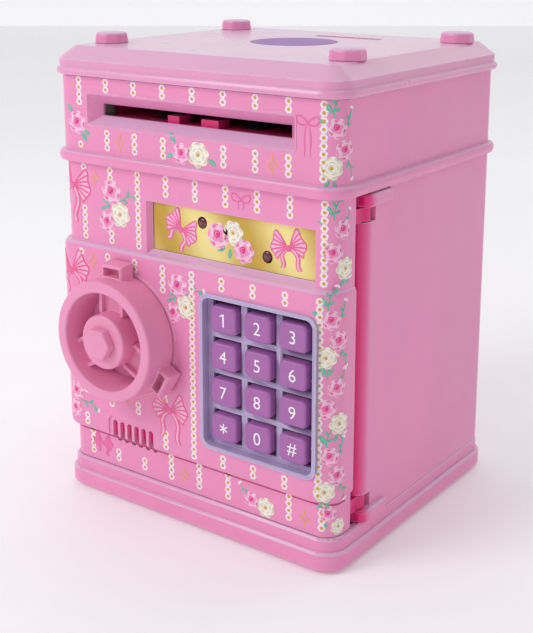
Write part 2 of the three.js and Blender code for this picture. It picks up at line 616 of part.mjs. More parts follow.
function grilleSlots(y0, y1) {
  const slots = [];
  for (let i = 0; i < GRILLE.slots; i += 1) {
    const x = GRILLE.x + (i - (GRILLE.slots - 1) / 2) * GRILLE.pitch;
    const half = GRILLE.slotWidth / 2;
    const pill = roundedRect(x - half, GRILLE.bottom + 1.9, x + half, GRILLE.top - 1.9, half - 0.01);
    slots.push(slab(pill, y0, y1, { curveSegments: 3 }));
  }
  return slots;
}

function buildDoorShell() {
  const front = block(-80, 80, -10, DOOR_BACK, 0, 150);
  const outside = join(
    prism(plan(BAND_OFFSET), DOOR_BOTTOM, Z_BAND + 1),
    prism(safePlan(0), Z_BAND, Z_SAFE, { edge: SAFE_EDGE, steps: 3 }),
    prism(plan(HEAD_OFFSET), Z_SAFE - SAFE_EDGE, DOOR_TOP),
    rod("y", DISC.radius, -SAFE_OFFSET - DISC.rise, 0, [KNOB.x, KNOB.z], 64),
  ).intersect(front);
  const inside = join(
    prism(plan(BAND_OFFSET - 2), DOOR_BOTTOM + WALL, DOOR_TOP - WALL),
    prism(safePlan(2.2), Z_BAND + WALL, Z_SAFE - 4),
  );
  const keypadWindow = slab(roundedRect(
    KEYPAD.x - KEYPAD.width / 2 - GAP, KEYPAD.z - KEYPAD.height / 2 - GAP,
    KEYPAD.x + KEYPAD.width / 2 + GAP, KEYPAD.z + KEYPAD.height / 2 + GAP, KEYPAD.corner + GAP,
  ), -5, DOOR_BACK + 1, { curveSegments: 4 });
  const recess = [PANEL.left - 2, PANEL.right + 0.9, PANEL.bottom - 2.2, PANEL.top + 0.9];
  const panelMouth = frustum(
    recess, HEAD_OFFSET * -1 - 0.01,
    [PANEL.left, PANEL.right, PANEL.bottom, PANEL.top], PANEL.front + GAP,
  );
  const panelSeat = block(
    PANEL.left - GAP, PANEL.right + GAP, PANEL.front - 0.9, DOOR_BACK + 1,
    PANEL.bottom - GAP, PANEL.top + GAP,
  );
  const spindleHole = rod("y", 5.3, -6, 4, [KNOB.x, KNOB.z], 24);
  const grilleFrame = slab(roundedRect(
    GRILLE.x - 12.6, GRILLE.bottom, GRILLE.x + 12.6, GRILLE.top, 3,
  ), -4, -SAFE_OFFSET + 0.6, { curveSegments: 4 });
  const shell = cut(
    outside, inside, keypadWindow, panelMouth, panelSeat, spindleHole, grilleFrame,
    ...grilleSlots(-5, DOOR_BACK - 2),
  );
  place("door_shell", shell, PINK);
}

// ---- Door: cover, lock and electronics --------------------------------------------------------

const LATCH_Z = KNOB.z + (PINION_TEETH * RACK_MODULE) / 2; // pitch line of the rack
const LATCH_BODY = { bottom: LATCH_Z + 0.9, top: LATCH_Z + 0.9 + LATCH.height };
const COVER_SCREWS = [[-58, 120], [-58, 30], [56, 112], [56, 30]];

function buildDoorCover() {
  const flange = slab(
    roundedRect(-63.2, DOOR_BOTTOM + 1.2, 62.6, DOOR_TOP - 1.2, 3), COVER_FRONT, COVER_BACK,
    { curveSegments: 4 },
  );
  const trayOutside = block(
    -TRAY.halfWidth, TRAY.halfWidth, COVER_FRONT + 0.5, TRAY.back, TRAY.bottom, TRAY.top);
  const trayInside = block(
    -TRAY.halfWidth + TRAY.wall, TRAY.halfWidth - TRAY.wall, COVER_FRONT - 1, TRAY.back - TRAY.wall,
    TRAY.bottom + TRAY.wall, TRAY.top - TRAY.wall);
  const latchExit = block(
    -TRAY.halfWidth - 1, -TRAY.halfWidth + TRAY.wall + 1,
    LATCH.front - GAP, LATCH.back + GAP, LATCH_BODY.bottom - GAP, LATCH_BODY.top + GAP);
  const knuckleZ = [
    LOWER_EAR_BOTTOM + EAR_HEIGHT + GAP,
    EAR_TOP - EAR_HEIGHT - GAP - KNUCKLE.height,
  ];
  const knuckles = knuckleZ.map((z) => join(
    rod("z", KNUCKLE.radius, z, z + KNUCKLE.height, [HINGE.x, HINGE.y], 24),
    block(HINGE.x - 1.6, HINGE.x + 1.6, COVER_FRONT, HINGE.y, z, z + KNUCKLE.height),
  ));
  const pinBores = knuckleZ.map((z) =>
    rod("z", PIN_RADIUS + GAP, z - 1, z + KNUCKLE.height + 1, [HINGE.x, HINGE.y], 16));
  // Guide for the latch bolt, and a bearing for the inner end of the knob's spindle.
  const guide = cut(
    block(-46.5, -42, LATCH.front - 2.2, TRAY.back - 1,
      LATCH_BODY.bottom - 2.2, LATCH_BODY.top + 2.2),
    block(-50, -40, LATCH.front - GAP, LATCH.back + GAP,
      LATCH_BODY.bottom - GAP, LATCH_BODY.top + GAP),
  );
  const bearing = cut(
    rod("y", 4.4, LATCH.back + 0.6, TRAY.back - 1, [KNOB.x, KNOB.z], 20),
    rod("y", 2.3, LATCH.back, TRAY.back - TRAY.wall, [KNOB.x, KNOB.z], 20),
  );
  const screwHoles = COVER_SCREWS.map(([x, z]) =>
    rod("y", 1.4, COVER_FRONT - 1, COVER_BACK + 1, [x, z], 12));
  const cover = join(
    cut(join(flange, trayOutside), trayInside), ...knuckles, guide, bearing,
  );
  place("door_cover", cut(cover, latchExit, ...pinBores, ...screwHoles), PINK);
  COVER_SCREWS.forEach(([x, z], i) => {
    place(`cover_screw_${i + 1}`, rod("y", 1.1, COVER_FRONT - 2.2, COVER_BACK, [x, z], 12), STEEL);
  });
}

function buildKnob() {
  const height = (y) => -(y - KNOB.back); // distance in front of the knob's back face
  const rim = height(KNOB.front);
  const ring = turned([
    [KNOB.inner - 1.5, 0], [KNOB.outer + 0.6, 0], [KNOB.outer, rim - 1], [KNOB.outer - 0.9, rim],
    [KNOB.inner + 0.8, rim], [KNOB.inner, rim - 0.9], [KNOB.inner - 1.5, 0],
  ], 44);
  const hub = turned([
    [0, 0], [KNOB.hub + 0.5, 0], [KNOB.hub, rim - 0.6], [KNOB.hub - 0.7, rim - 0.1], [0, rim - 0.1],
  ], 36);
  const spokeHalf = 5.2;
  const spokes = [90, 210, 330].map((angle) => {
    const web = block(KNOB.hub - 1, KNOB.inner + 1, -5.6, 0, -spokeHalf, spokeHalf);
    const ribs = [-1, 1].map((side) => block(
      KNOB.hub - 1, KNOB.inner + 1, -7.4, 0, side * spokeHalf - 0.8, side * spokeHalf + 0.8));
    const lug = cut(
      block(KNOB.outer - 1.5, KNOB.outer + 5.6, -6.6, 0, -5.4, 5.4),
      block(KNOB.outer - 1, KNOB.outer + 3.9, -7, -4.6, -3.2, 3.2),
    );
    return join(web, ...ribs, lug).rotate([0, -angle, 0]);
  });
  const socket = rod("y", 3.3, -9, 1, [0, 0], 24);
  const capSeat = rod("y", 2.6, -rim - 1, -9.5, [0, 0], 20);
  const centre = [KNOB.x, KNOB.back, KNOB.z];
  place("knob_wheel", cut(join(ring, hub, ...spokes), socket, capSeat).translate(centre), KNOB_PINK);

  const cap = join(
    slab(regularPolygon(KNOB_CAP.radius, 6), -rim - KNOB_CAP.rise, -rim - 0.2, { edge: 0.5, steps: 1 }),
    rod("y", 2.2, -rim - 1, -rim + 2.6, [0, 0], 20),
  );
  place("knob_cap", cap.translate(centre), KNOB_PINK);

  // The spindle carries the pinion that drives the latch bolt's rack.
  const pinion = slab(gearShape(PINION_TEETH, RACK_MODULE), LATCH.front, LATCH.back);
  const spindle = join(
    rod("y", 3, KNOB.back - 8.6, LATCH.front - 1, [0, 0], 20),
    rod("y", 2.6, LATCH.front - 1.5, LATCH.front + 0.5, [0, 0], 20),
    pinion,
    rod("y", 2, LATCH.back - 0.5, TRAY.back - TRAY.wall - GAP, [0, 0], 20),
  );
  place("knob_spindle", spindle.translate([KNOB.x, 0, KNOB.z]), WHITE_NYLON);
}

// Rack teeth hang from the bolt's underside; a tooth space stands over the pinion's top tooth.
function buildLatch() {
  const body = prism(polygon([
    [LATCH.tip, LATCH.front + LATCH_CHAMFER], [LATCH.tip + LATCH_CHAMFER, LATCH.front],
    [LATCH.inner, LATCH.front], [LATCH.inner, LATCH.back], [LATCH.tip, LATCH.back],
  ]), LATCH_BODY.bottom, LATCH_BODY.top);
  const pitch = Math.PI * RACK_MODULE;
  const slope = Math.tan((20 * Math.PI) / 180);
  const tip = 0.65 * RACK_MODULE;
  const rise = LATCH_BODY.bottom - LATCH_Z;
  const halfTooth = pitch / 4 - 0.12;
  const teeth = [];
  for (let i = -1; i <= 4; i += 1) {
    const x = KNOB.x + (i + 0.5) * pitch;
    const outline = polygon([
      [x - halfTooth - rise * slope, LATCH_BODY.bottom + 0.2],
      [x - halfTooth + tip * slope, LATCH_Z - tip],
      [x + halfTooth - tip * slope, LATCH_Z - tip],
      [x + halfTooth + rise * slope, LATCH_BODY.bottom + 0.2],
    ]);
    teeth.push(slab(outline, LATCH.front, LATCH.back));
  }
  place("latch_bolt", join(body, ...teeth), WHITE_NYLON);
}

function keyCentre(index) {
  const column = index % 3;
  const row = Math.floor(index / 3);
  return [KEYPAD.x + (column - 1) * KEY.pitchX, KEYPAD.z + (1.5 - row) * KEY.pitchZ];
}

function buildKeypad() {
  const lip = -SAFE_OFFSET - 0.9;
  const outline = roundedRect(
    KEYPAD.x - KEYPAD.width / 2, KEYPAD.z - KEYPAD.height / 2,
    KEYPAD.x + KEYPAD.width / 2, KEYPAD.z + KEYPAD.height / 2, KEYPAD.corner);
  const rim = 1.5;
  const hollow = roundedRect(
    KEYPAD.x - KEYPAD.width / 2 + rim, KEYPAD.z - KEYPAD.height / 2 + rim,
    KEYPAD.x + KEYPAD.width / 2 - rim, KEYPAD.z + KEYPAD.height / 2 - rim, KEYPAD.corner - rim);
  const frame = slab(outline, lip, KEY_FLOOR.back, { curveSegments: 4 });
  const well = slab(hollow, lip - 1, KEY_FLOOR.front, { curveSegments: 4 });
  const windows = KEY_NAMES.map((_, i) => {
    const [x, z] = keyCentre(i);
    const halfX = KEY.width / 2 + GAP;
    const halfZ = KEY.height / 2 + GAP;
    return block(x - halfX, x + halfX, 0, 4, z - halfZ, z + halfZ);
  });
  place("keypad_frame", cut(frame, well, ...windows), LAVENDER);

  KEY_NAMES.forEach((name, i) => {
    const [x, z] = keyCentre(i);
    const halfX = KEY.width / 2;
    const halfZ = KEY.height / 2;
    const outer = roundedRect(x - halfX, z - halfZ, x + halfX, z + halfZ, 1.6);
    const cap = slab(outer, KEY.front, KEY_FLOOR.back + 0.8, { edge: 0.8, steps: 1, curveSegments: 1 });
    const collar = block(
      x - halfX - KEY_COLLAR, x + halfX + KEY_COLLAR, KEY_FLOOR.back + GAP, KEY_FLOOR.back + 1.2,
      z - halfZ - KEY_COLLAR, z + halfZ + KEY_COLLAR);
    place(`key_${name}`, join(cap, collar), PURPLE);
  });
}

function buildElectronics() {
  const domeTop = KEY_FLOOR.back + 1.2 + KEY.travel + GAP;
  const sheet = slab(roundedRect(
    KEYPAD.x - 25, KEYPAD.z - 29, KEYPAD.x + 20.6, KEYPAD.z + 29, 1), domeTop + 0.5, domeTop + 1.1,
  { curveSegments: 2 });
  const domes = KEY_NAMES.map((_, i) => {
    const [x, z] = keyCentre(i);
    return rod("y", 3, domeTop, domeTop + 0.8, [x, z], 8);
  });
  place("keypad_membrane", join(sheet, ...domes), SILICONE);

  const boardFront = domeTop + 1.1 + GAP;
  place("control_board", block(2, 49, boardFront, boardFront + 1.6, 33, 125), BOARD_GREEN);

  const panel = block(
    PANEL.left, PANEL.right, PANEL.front, PANEL.front + PANEL.thickness, PANEL.bottom, PANEL.top);
  const ledHoles = LED.spots.map(([x, z]) => rod("y", LED.radius + GAP, 0, 8, [x, z], 20));
  place("status_panel", cut(panel, ...ledHoles), GOLD);
  const ledNames = ["upper", "lower"];
  LED.spots.forEach(([x, z], i) => {
    const lens = join(
      rod("y", LED.radius, PANEL.front - 0.5, boardFront - 1.2, [x, z], 20),
      rod("y", LED.radius + 0.5, boardFront - 1.8, boardFront - GAP, [x, z], 20),
    );
    place(`status_led_${ledNames[i]}`, lens, LED_RED);
  });

  place("speaker", join(
    rod("y", 10, 4.4, 8.2, [GRILLE.x, 34.5], 28),
    rod("y", 6, 8, 11.5, [GRILLE.x, 34.5], 20),
  ), RUBBER);
  const solenoid = cut(
    block(-40, -22, LATCH.front, TRAY.back - TRAY.wall - GAP, 92, 104),
    rod("z", 1.8, 88, 98, [-31, LATCH.front + 3], 14));
  place("lock_solenoid", solenoid, STEEL);
}

buildBase();
buildLowerHousing();
buildUpperHousing();
buildLid();
buildMechanism();
buildDoorShell();
buildDoorCover();
buildKnob();
buildLatch();
buildKeypad();
buildElectronics();

export default bank;
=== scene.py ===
"""Toy safe coin bank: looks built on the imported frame, in metres, +Z up, front towards -Y."""
import json
from math import cos, hypot, pi, radians, sin

import bmesh
import bpy
from mathutils import Matrix, Vector

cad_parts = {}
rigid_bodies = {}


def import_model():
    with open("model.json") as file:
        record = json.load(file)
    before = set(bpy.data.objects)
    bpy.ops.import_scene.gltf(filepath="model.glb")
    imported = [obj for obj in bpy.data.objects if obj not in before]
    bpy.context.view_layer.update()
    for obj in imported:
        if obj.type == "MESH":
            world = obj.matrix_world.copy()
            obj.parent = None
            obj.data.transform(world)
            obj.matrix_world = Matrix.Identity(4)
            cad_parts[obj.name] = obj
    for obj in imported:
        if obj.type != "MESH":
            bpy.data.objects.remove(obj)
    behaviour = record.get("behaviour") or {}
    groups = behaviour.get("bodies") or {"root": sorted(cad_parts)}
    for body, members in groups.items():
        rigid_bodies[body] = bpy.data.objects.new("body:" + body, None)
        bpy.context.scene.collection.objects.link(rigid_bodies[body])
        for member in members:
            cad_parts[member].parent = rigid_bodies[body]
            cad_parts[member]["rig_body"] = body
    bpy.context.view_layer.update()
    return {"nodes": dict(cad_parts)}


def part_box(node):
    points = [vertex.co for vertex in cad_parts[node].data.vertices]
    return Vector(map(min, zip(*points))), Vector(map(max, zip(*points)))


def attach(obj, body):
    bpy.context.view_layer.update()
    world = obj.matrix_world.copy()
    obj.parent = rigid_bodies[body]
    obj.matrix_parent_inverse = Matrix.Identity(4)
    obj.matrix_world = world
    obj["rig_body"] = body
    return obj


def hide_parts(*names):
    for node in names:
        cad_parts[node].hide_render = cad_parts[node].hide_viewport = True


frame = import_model()

MM = 0.001
TAU = 2 * pi
POINT = 0.01  # radius of a turned shape where it closes at its axis

# ---- Places taken from the frame ----
# Millimetres in "body" coordinates: x from the centre plane, y = 0 on the upper housing's front
# wall, z up from the table.

BEAD = 2.3  # how far the middle bead and the lid's flange stand proud of the wall
BEAD_HEIGHT = 4.5
HOUSING_LOW, HOUSING_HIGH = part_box("upper_housing")
FRONT_Y = HOUSING_LOW.y / MM + BEAD
HALF_WIDTH = HOUSING_HIGH.x / MM - BEAD
CORNER = 8.0
FLAT_HALF = HALF_WIDTH - CORNER  # half width of the flat part of the front


def node_span(node, axis):
    low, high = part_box(node)
    shift = FRONT_Y if axis == 1 else 0
    return low[axis] / MM - shift, high[axis] / MM - shift


def node_size(node, axis):
    low, high = node_span(node, axis)
    return high - low


def node_centre(node):
    return [sum(node_span(node, axis)) / 2 for axis in range(3)]


def at(x, y, z):
    return Vector((x, y + FRONT_Y, z)) * MM


BEAD_TOP = node_span("upper_housing", 2)[0] + BEAD_HEIGHT
LID_BOTTOM, LID_TOP = node_span("lid", 2)
DOOR_BOTTOM, DOOR_TOP = node_span("door_shell", 2)
Z_BAND = 26.5  # foot of the door's proud middle section
Z_SAFE = 105.2  # its top

# Offsets of the plan outline, positive proud of the upper housing's wall.
UPPER, HEAD, SAFE, BAND = 0.0, -1.0, 1.7, -1.2
SAFE_INSET = 1.9  # how much narrower the middle section is on the hinge side

# ---- Colour and materials ----


def linear(r, g, b):
    def one(c):
        c /= 255
        return c / 12.92 if c <= 0.04045 else ((c + 0.055) / 1.055) ** 2.4
    return (one(r), one(g), one(b), 1.0)


class Nodes:
    """A small helper that adds shader nodes and links them."""

    def __init__(self, name):
        self.material = bpy.data.materials.new(name)
        self.material.use_nodes = True
        self.tree = self.material.node_tree
        self.shader = self.tree.nodes["Principled BSDF"]
        self.place = self.add("ShaderNodeTexCoord").outputs["Object"]

    def add(self, kind, **inputs):
        node = self.tree.nodes.new(kind)
        for key, value in inputs.items():
            self.feed(node.inputs[key], value)
        return node

    def feed(self, socket, value):
        if isinstance(value, bpy.types.NodeSocket):
            self.tree.links.new(value, socket)
        else:
            socket.default_value = value

    def shade(self, name, value):
        """Sets one input of the surface itself."""
        self.feed(self.shader.inputs[name], value)

    def combine(self, operation, a, b):
        node = self.add("ShaderNodeMath")
        node.operation = operation
        self.feed(node.inputs[0], a)
        self.feed(node.inputs[1], b)
        return node.outputs[0]

    def part(self, vector, axis):
        return self.add("ShaderNodeSeparateXYZ", Vector=vector).outputs[axis]

    def noise(self, scale, detail=3.0, stretch=None):
        source = self.place
        if stretch:
            mapping = self.add("ShaderNodeMapping", Vector=source)
            mapping.inputs["Scale"].default_value = stretch
            source = mapping.outputs["Vector"]
        node = self.add("ShaderNodeTexNoise", Vector=source, Scale=scale, Detail=detail)
        return node.outputs["Fac"]

    def ramp(self, value, low, high, out_low, out_high):
        node = self.add("ShaderNodeMapRange", Value=value)
        for key, number in zip(("From Min", "From Max", "To Min", "To Max"),
                               (low, high, out_low, out_high)):
            node.inputs[key].default_value = number
        return node.outputs["Result"]

    def vary(self, noise, low, high):
        """Spreads a noise's usual range over two values."""
        return self.ramp(noise, 0.3, 0.7, low, high)

    def mix(self, factor, a, b):
        node = self.add("ShaderNodeMix")
        node.data_type = "RGBA"
        self.feed(node.inputs["Factor"], factor)
        self.feed(node.inputs[6], a)
        self.feed(node.inputs[7], b)
        return node.outputs[2]

    def bump(self, height, distance, strength, normal=None):
        node = self.add("ShaderNodeBump", Height=height, Distance=distance, Strength=strength)
        if normal is not None:
            self.feed(node.inputs["Normal"], normal)
        self.shade("Normal", node.outputs["Normal"])
        return node.outputs["Normal"]

    def edge_mask(self, radius):
        """White along outside and inside edges, where a rounded normal leaves the true one."""
        bevel = self.add("ShaderNodeBevel", Radius=radius)
        bevel.samples = 6
        true_normal = self.add("ShaderNodeNewGeometry").outputs["Normal"]
        dot = self.tree.nodes.new("ShaderNodeVectorMath")
        dot.operation = "DOT_PRODUCT"
        self.feed(dot.inputs[0], bevel.outputs["Normal"])
        self.feed(dot.inputs[1], true_normal)
        return self.ramp(dot.outputs["Value"], 0.99, 0.86, 0.0, 1.0)


def tinted(color, factor):
    return tuple(min(1.0, c * factor) for c in color[:3]) + (1.0,)


def toward_white(color, share):
    return tuple(c + (1 - c) * share for c in color[:3]) + (1.0,)


GRAIN = 0.00002  # depth of the mould's spark-erosion grain
FLOW = 0.03  # how much the flow marks lighten and darken a moulded colour
LIT_TOP_FADE = 0.37  # rise in slope over which the painted light on up-facing faces comes in


def plastic(name, color, rough=0.4, edge=0.0, coat=0.0, subsurface=0.0, top=None, lit_top_from=0.25,
            front=None):
    """Moulded plastic: slight flow marks in the colour, fine spark-erosion grain, painted highlights
    along edges.

    top is a paler colour painted on faces that look up more steeply than level, from the given slope
    on, as painted light from above; front is a deep pink painted shade on the jamb's rounded edge,
    fading out towards the back.
    """
    n = Nodes(name)
    flow = n.vary(n.noise(28.0, 4.0, (1, 1, 0.35)), 0.0, 1.0)
    tone = n.mix(flow, tinted(color, 1 - FLOW), tinted(color, 1 + FLOW))
    speck = n.ramp(n.noise(900.0, 2.0), 0.62, 0.72, 0.0, 0.05)
    tone = n.mix(speck, tone, toward_white(color, 0.5))
    # painted light: faces that look up are mixed towards the paler top colour
    if top:
        slope = n.part(n.add("ShaderNodeNewGeometry").outputs["Normal"], "Z")
        tone = n.mix(n.ramp(slope, lit_top_from, lit_top_from + LIT_TOP_FADE, 0.0, 1.0), tone, top)
    # painted shade: the jamb's rounded front edge turns deep pink, fading out towards the back
    if front:
        near, far = at(0, JAMB_NEAR, 0)[1], at(0, JAMB_FAR, 0)[1]
        tone = n.mix(n.ramp(n.part(n.place, "Y"), near, far, 1.0, 0.0), tone, front)
    # painted highlight: edges are lightened towards white, in patches
    if edge:
        highlight_patches = n.ramp(n.noise(160.0, 3.0), 0.35, 0.65, 0.25 * edge, edge)
        edge_highlight = n.combine("MULTIPLY", n.edge_mask(0.0007), highlight_patches)
        tone = n.mix(edge_highlight, tone, toward_white(color, 0.62))
    n.shade("Base Color", tone)
    smudge = n.vary(n.noise(45.0, 5.0), rough * 0.86, rough * 1.16)
    scratch = n.ramp(n.noise(60.0, 2.0, (22, 1, 3)), 0.63, 0.7, 0.0, 0.02)
    n.shade("Roughness", n.combine("ADD", smudge, scratch))
    sink_marks = n.bump(n.noise(22.0, 2.0), 0.00025, 0.35)
    n.bump(n.noise(2600.0, 2.0), GRAIN, 0.6, sink_marks)
    n.shade("Coat Weight", coat)
    n.shade("Coat Roughness", 0.12)
    n.shade("Subsurface Weight", subsurface)
    n.shade("Subsurface Radius", (0.004, 0.0015, 0.002))
    return n.material


def foil(name, color):
    """Satin gold foil: soft slanting bands of painted reflection, fine vertical brushing and a few
    dull spots.
    """
    n = Nodes(name)
    # painted reflection: soft slanting light and dark bands across the foil
    slant = n.add("ShaderNodeMapping", Vector=n.place)
    slant.inputs["Rotation"].default_value = (0, radians(24), 0)
    reflection_bands = n.add("ShaderNodeTexWave", Vector=slant.outputs["Vector"], Scale=9.0,
                  Distortion=0.7, Detail=1.0)
    reflection_bands.bands_direction = "X"
    band = n.ramp(reflection_bands.outputs["Fac"], 0.05, 0.95, 0.0, 1.0)
    tone = n.mix(band, linear(196, 158, 62), linear(247, 232, 158))
    cloud = n.vary(n.noise(40.0, 3.0), 0.0, 0.35)
    tone = n.mix(cloud, tone, color)
    n.shade("Base Color", tone)
    brushed = n.noise(90.0, 3.0, (60, 1, 1))
    n.shade("Roughness", n.vary(brushed, 0.3, 0.46))
    n.bump(brushed, 0.000006, 0.5)
    n.shade("Metallic", 0.55)
    return n.material


def metal(name, color, rough=0.3):
    n = Nodes(name)
    turned_marks = n.noise(400.0, 3.0, (1, 1, 14))
    n.shade("Base Color", n.mix(turned_marks, tinted(color, 0.8), tinted(color, 1.1)))
    n.shade("Roughness", n.vary(n.noise(120.0, 4.0), rough * 0.8, rough * 1.35))
    n.bump(turned_marks, 0.000008, 0.5)
    n.shade("Metallic", 1.0)
    return n.material


def rubber(name, color):
    n = Nodes(name)
    dust = n.ramp(n.noise(220.0, 4.0), 0.5, 0.75, 0.0, 0.25)
    n.shade("Base Color", n.mix(dust, color, toward_white(color, 0.2)))
    n.shade("Roughness", n.vary(n.noise(90.0), 0.7, 0.92))
    n.bump(n.noise(1800.0, 3.0), 0.00004, 0.6)
    return n.material


def board(name, color):
    """A circuit board: green resist over faint copper tracks."""
    n = Nodes(name)
    tracks = n.add("ShaderNodeTexBrick", Vector=n.place, Scale=160.0)
    tone = n.mix(tracks.outputs["Fac"], color, toward_white(color, 0.12))
    n.shade("Base Color", tone)
    n.shade("Roughness", n.vary(n.noise(80.0), 0.3, 0.5))
    n.bump(tracks.outputs["Fac"], 0.00003, 0.5)
    return n.material


def lens(name, color):
    n = Nodes(name)
    depth = n.vary(n.noise(300.0, 2.0), 0.0, 1.0)
    n.shade("Base Color", n.mix(depth, tinted(color, 0.7), tinted(color, 1.5)))
    n.shade("Roughness", n.vary(n.noise(150.0), 0.08, 0.16))
    n.bump(n.noise(500.0, 1.0), 0.00001, 0.4)
    n.shade("Coat Weight", 0.8)
    return n.material


def ink(name, color, rough, spread=0.08):
    """Printed ink: a hair of tone change and dot texture, with a satin roughness."""
    n = Nodes(name)
    wash = n.vary(n.noise(420.0, 3.0), 0.0, 1.0)
    n.shade("Base Color", n.mix(wash, tinted(color, 1 - spread), tinted(color, 1 + spread)))
    n.shade("Roughness", n.vary(n.noise(300.0), rough * 0.9, rough * 1.1))
    n.bump(n.noise(3000.0, 1.0), 0.000008, 0.5)
    return n.material


JAMB_NEAR, JAMB_FAR = 18.0, 23.0  # where the deep pink painted shade on the jamb starts to fade, and where it ends
FRONT_PINK = linear(238, 146, 192)
# paler pink painted on up-facing faces as light from above
LIT_TOP_PINK = linear(226, 178, 214)
# In these finishes top is a paler colour painted on up-facing faces as light from above.
SLOT_MATERIALS = {
    # edge is the strength of a painted highlight along the edges
    "shell_pink": plastic("shell_pink", FRONT_PINK, 0.36, edge=0.55, coat=0.15, top=LIT_TOP_PINK),
    "lid_pink": plastic("lid_pink", linear(232, 158, 198), 0.3, edge=0.5, coat=0.25,
                        top=linear(226, 186, 214), lit_top_from=0.62),
    "knob_pink": plastic("knob_pink", linear(238, 152, 192), 0.42, edge=0.6),
    "mechanism_pink": plastic("mechanism_pink", linear(222, 34, 104), 0.45),
    "key_purple": plastic("key_purple", linear(168, 102, 170), 0.4, edge=0.6),
    "keypad_lavender": plastic("keypad_lavender", linear(188, 170, 210), 0.42, edge=0.6),
    "label_purple": plastic("label_purple", linear(160, 112, 184), 0.5),
    "gold_foil": foil("gold_foil", linear(228, 200, 112)),
    "led_lens": lens("led_lens", linear(92, 12, 40)),
    "bright_steel": metal("bright_steel", linear(200, 202, 206)),
    "black_rubber": rubber("black_rubber", linear(30, 30, 34)),
    "circuit_board": board("circuit_board", linear(38, 100, 62)),
    "white_nylon": plastic("white_nylon", linear(236, 232, 224), 0.5, subsurface=0.1),
    "silicone": plastic("silicone", linear(216, 210, 220), 0.6, subsurface=0.15),
}
# top is painted light on up-facing faces; edge is a painted highlight along the edges
BEZEL_PINK = plastic("bezel_pink", linear(232, 144, 190), 0.34, edge=0.5, coat=0.2,
                     top=LIT_TOP_PINK)
JAMB_PINK = plastic("jamb_pink", linear(226, 40, 122), 0.42, edge=0.3)
# the lower housing's plastic, with a deep pink painted shade on the jamb's front edge
JAMB_SHADED_EDGE = plastic("jamb_shaded_edge", FRONT_PINK, 0.36, edge=0.55, coat=0.15, top=LIT_TOP_PINK,
                    front=linear(236, 40, 132))
CLOTH_PINK = plastic("cloth_pink", linear(235, 20, 130), 0.7)

# ---- Mesh helpers ----


def new_piece(name, bm, body, slot, material=None, smooth=40, weighted=True):
    """Turns a bmesh in body millimetres into a shown piece that rides on a CAD body.

    The material is its slot's own unless another is given.
    """
    bmesh.ops.recalc_face_normals(bm, faces=bm.faces)
    for vert in bm.verts:
        vert.co = at(*vert.co)
    for face in bm.faces:
        face.smooth = True
    mesh = bpy.data.meshes.new(name)
    bm.to_mesh(mesh)
    bm.free()
    mesh.set_sharp_from_angle(angle=radians(smooth))
    piece = bpy.data.objects.new(name, mesh)
    bpy.context.scene.collection.objects.link(piece)
    piece.data.materials.append(material or SLOT_MATERIALS[slot])
    if weighted:
        modifier = piece.modifiers.new("weighted", "WEIGHTED_NORMAL")
        modifier.keep_sharp = True
    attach(piece, body)
    return piece


def loft(bm, rings, around=False):
    """Joins rings of equal length with quads; then caps the two ends, or joins them if around."""
    loops = [[bm.verts.new(point) for point in ring] for ring in rings]
    count = len(rings[0])
    following = loops[1:] + loops[:1] if around else loops[1:]
    for near, far in zip(loops, following):
        for i in range(count):
            j = (i + 1) % count
            bm.faces.new((near[i], near[j], far[j], far[i]))
    if not around:
        bm.faces.new(loops[0])
        bm.faces.new(reversed(loops[-1]))
    return [vert for loop in loops for vert in loop]


def rounded_ring(cx, cz, half_x, half_z, radius, steps=6):
    """Points round a rectangle with round corners, as (x, z)."""
    points = []
    for sx, sz, start in ((1, 1, 0), (-1, 1, 90), (-1, -1, 180), (1, -1, 270)):
        for i in range(steps + 1):
            angle = radians(start + 90 * i / steps)
            points.append((cx + sx * (half_x - radius) + radius * cos(angle),
                           cz + sz * (half_z - radius) + radius * sin(angle)))
    return points


def quarter(radius, steps):
    """(inset, rise) pairs of a rounded edge, from the side to the top."""
    return [(radius * (1 - cos(radians(90 * i / steps))),
             radius * sin(radians(90 * i / steps))) for i in range(steps + 1)]


def lathe(bm, profile, segments, centre, around=False):
    """Turns (radius, height) points about -Y at a centre; height runs towards the front.

    The profile of a ring-shaped turning closes on itself (around).
    """
    cx, cy, cz = centre
    angles = [TAU * i / segments for i in range(segments)]
    rings = [[(cx + radius * cos(angle), cy - height, cz + radius * sin(angle))
              for angle in angles] for radius, height in profile]
    loft(bm, rings, around)


def bevelled_box(bm, low, high, edge, segments=2, matrix=None):
    made = bmesh.ops.create_cube(bm, size=1.0)["verts"]
    size = [b - a for a, b in zip(low, high)]
    centre = [(a + b) / 2 for a, b in zip(low, high)]
    for vert in made:
        vert.co = Vector([c + v * s for c, v, s in zip(centre, vert.co, size)])
    edges = list({e for v in made for e in v.link_edges})
    result = bmesh.ops.bevel(bm, geom=edges, offset=edge, segments=segments, profile=0.5,
                             affect="EDGES", clamp_overlap=True)
    if matrix is not None:
        verts = {v for f in result["faces"] for v in f.verts} | {v for v in made if v.is_valid}
        bmesh.ops.transform(bm, matrix=matrix, verts=list(verts))


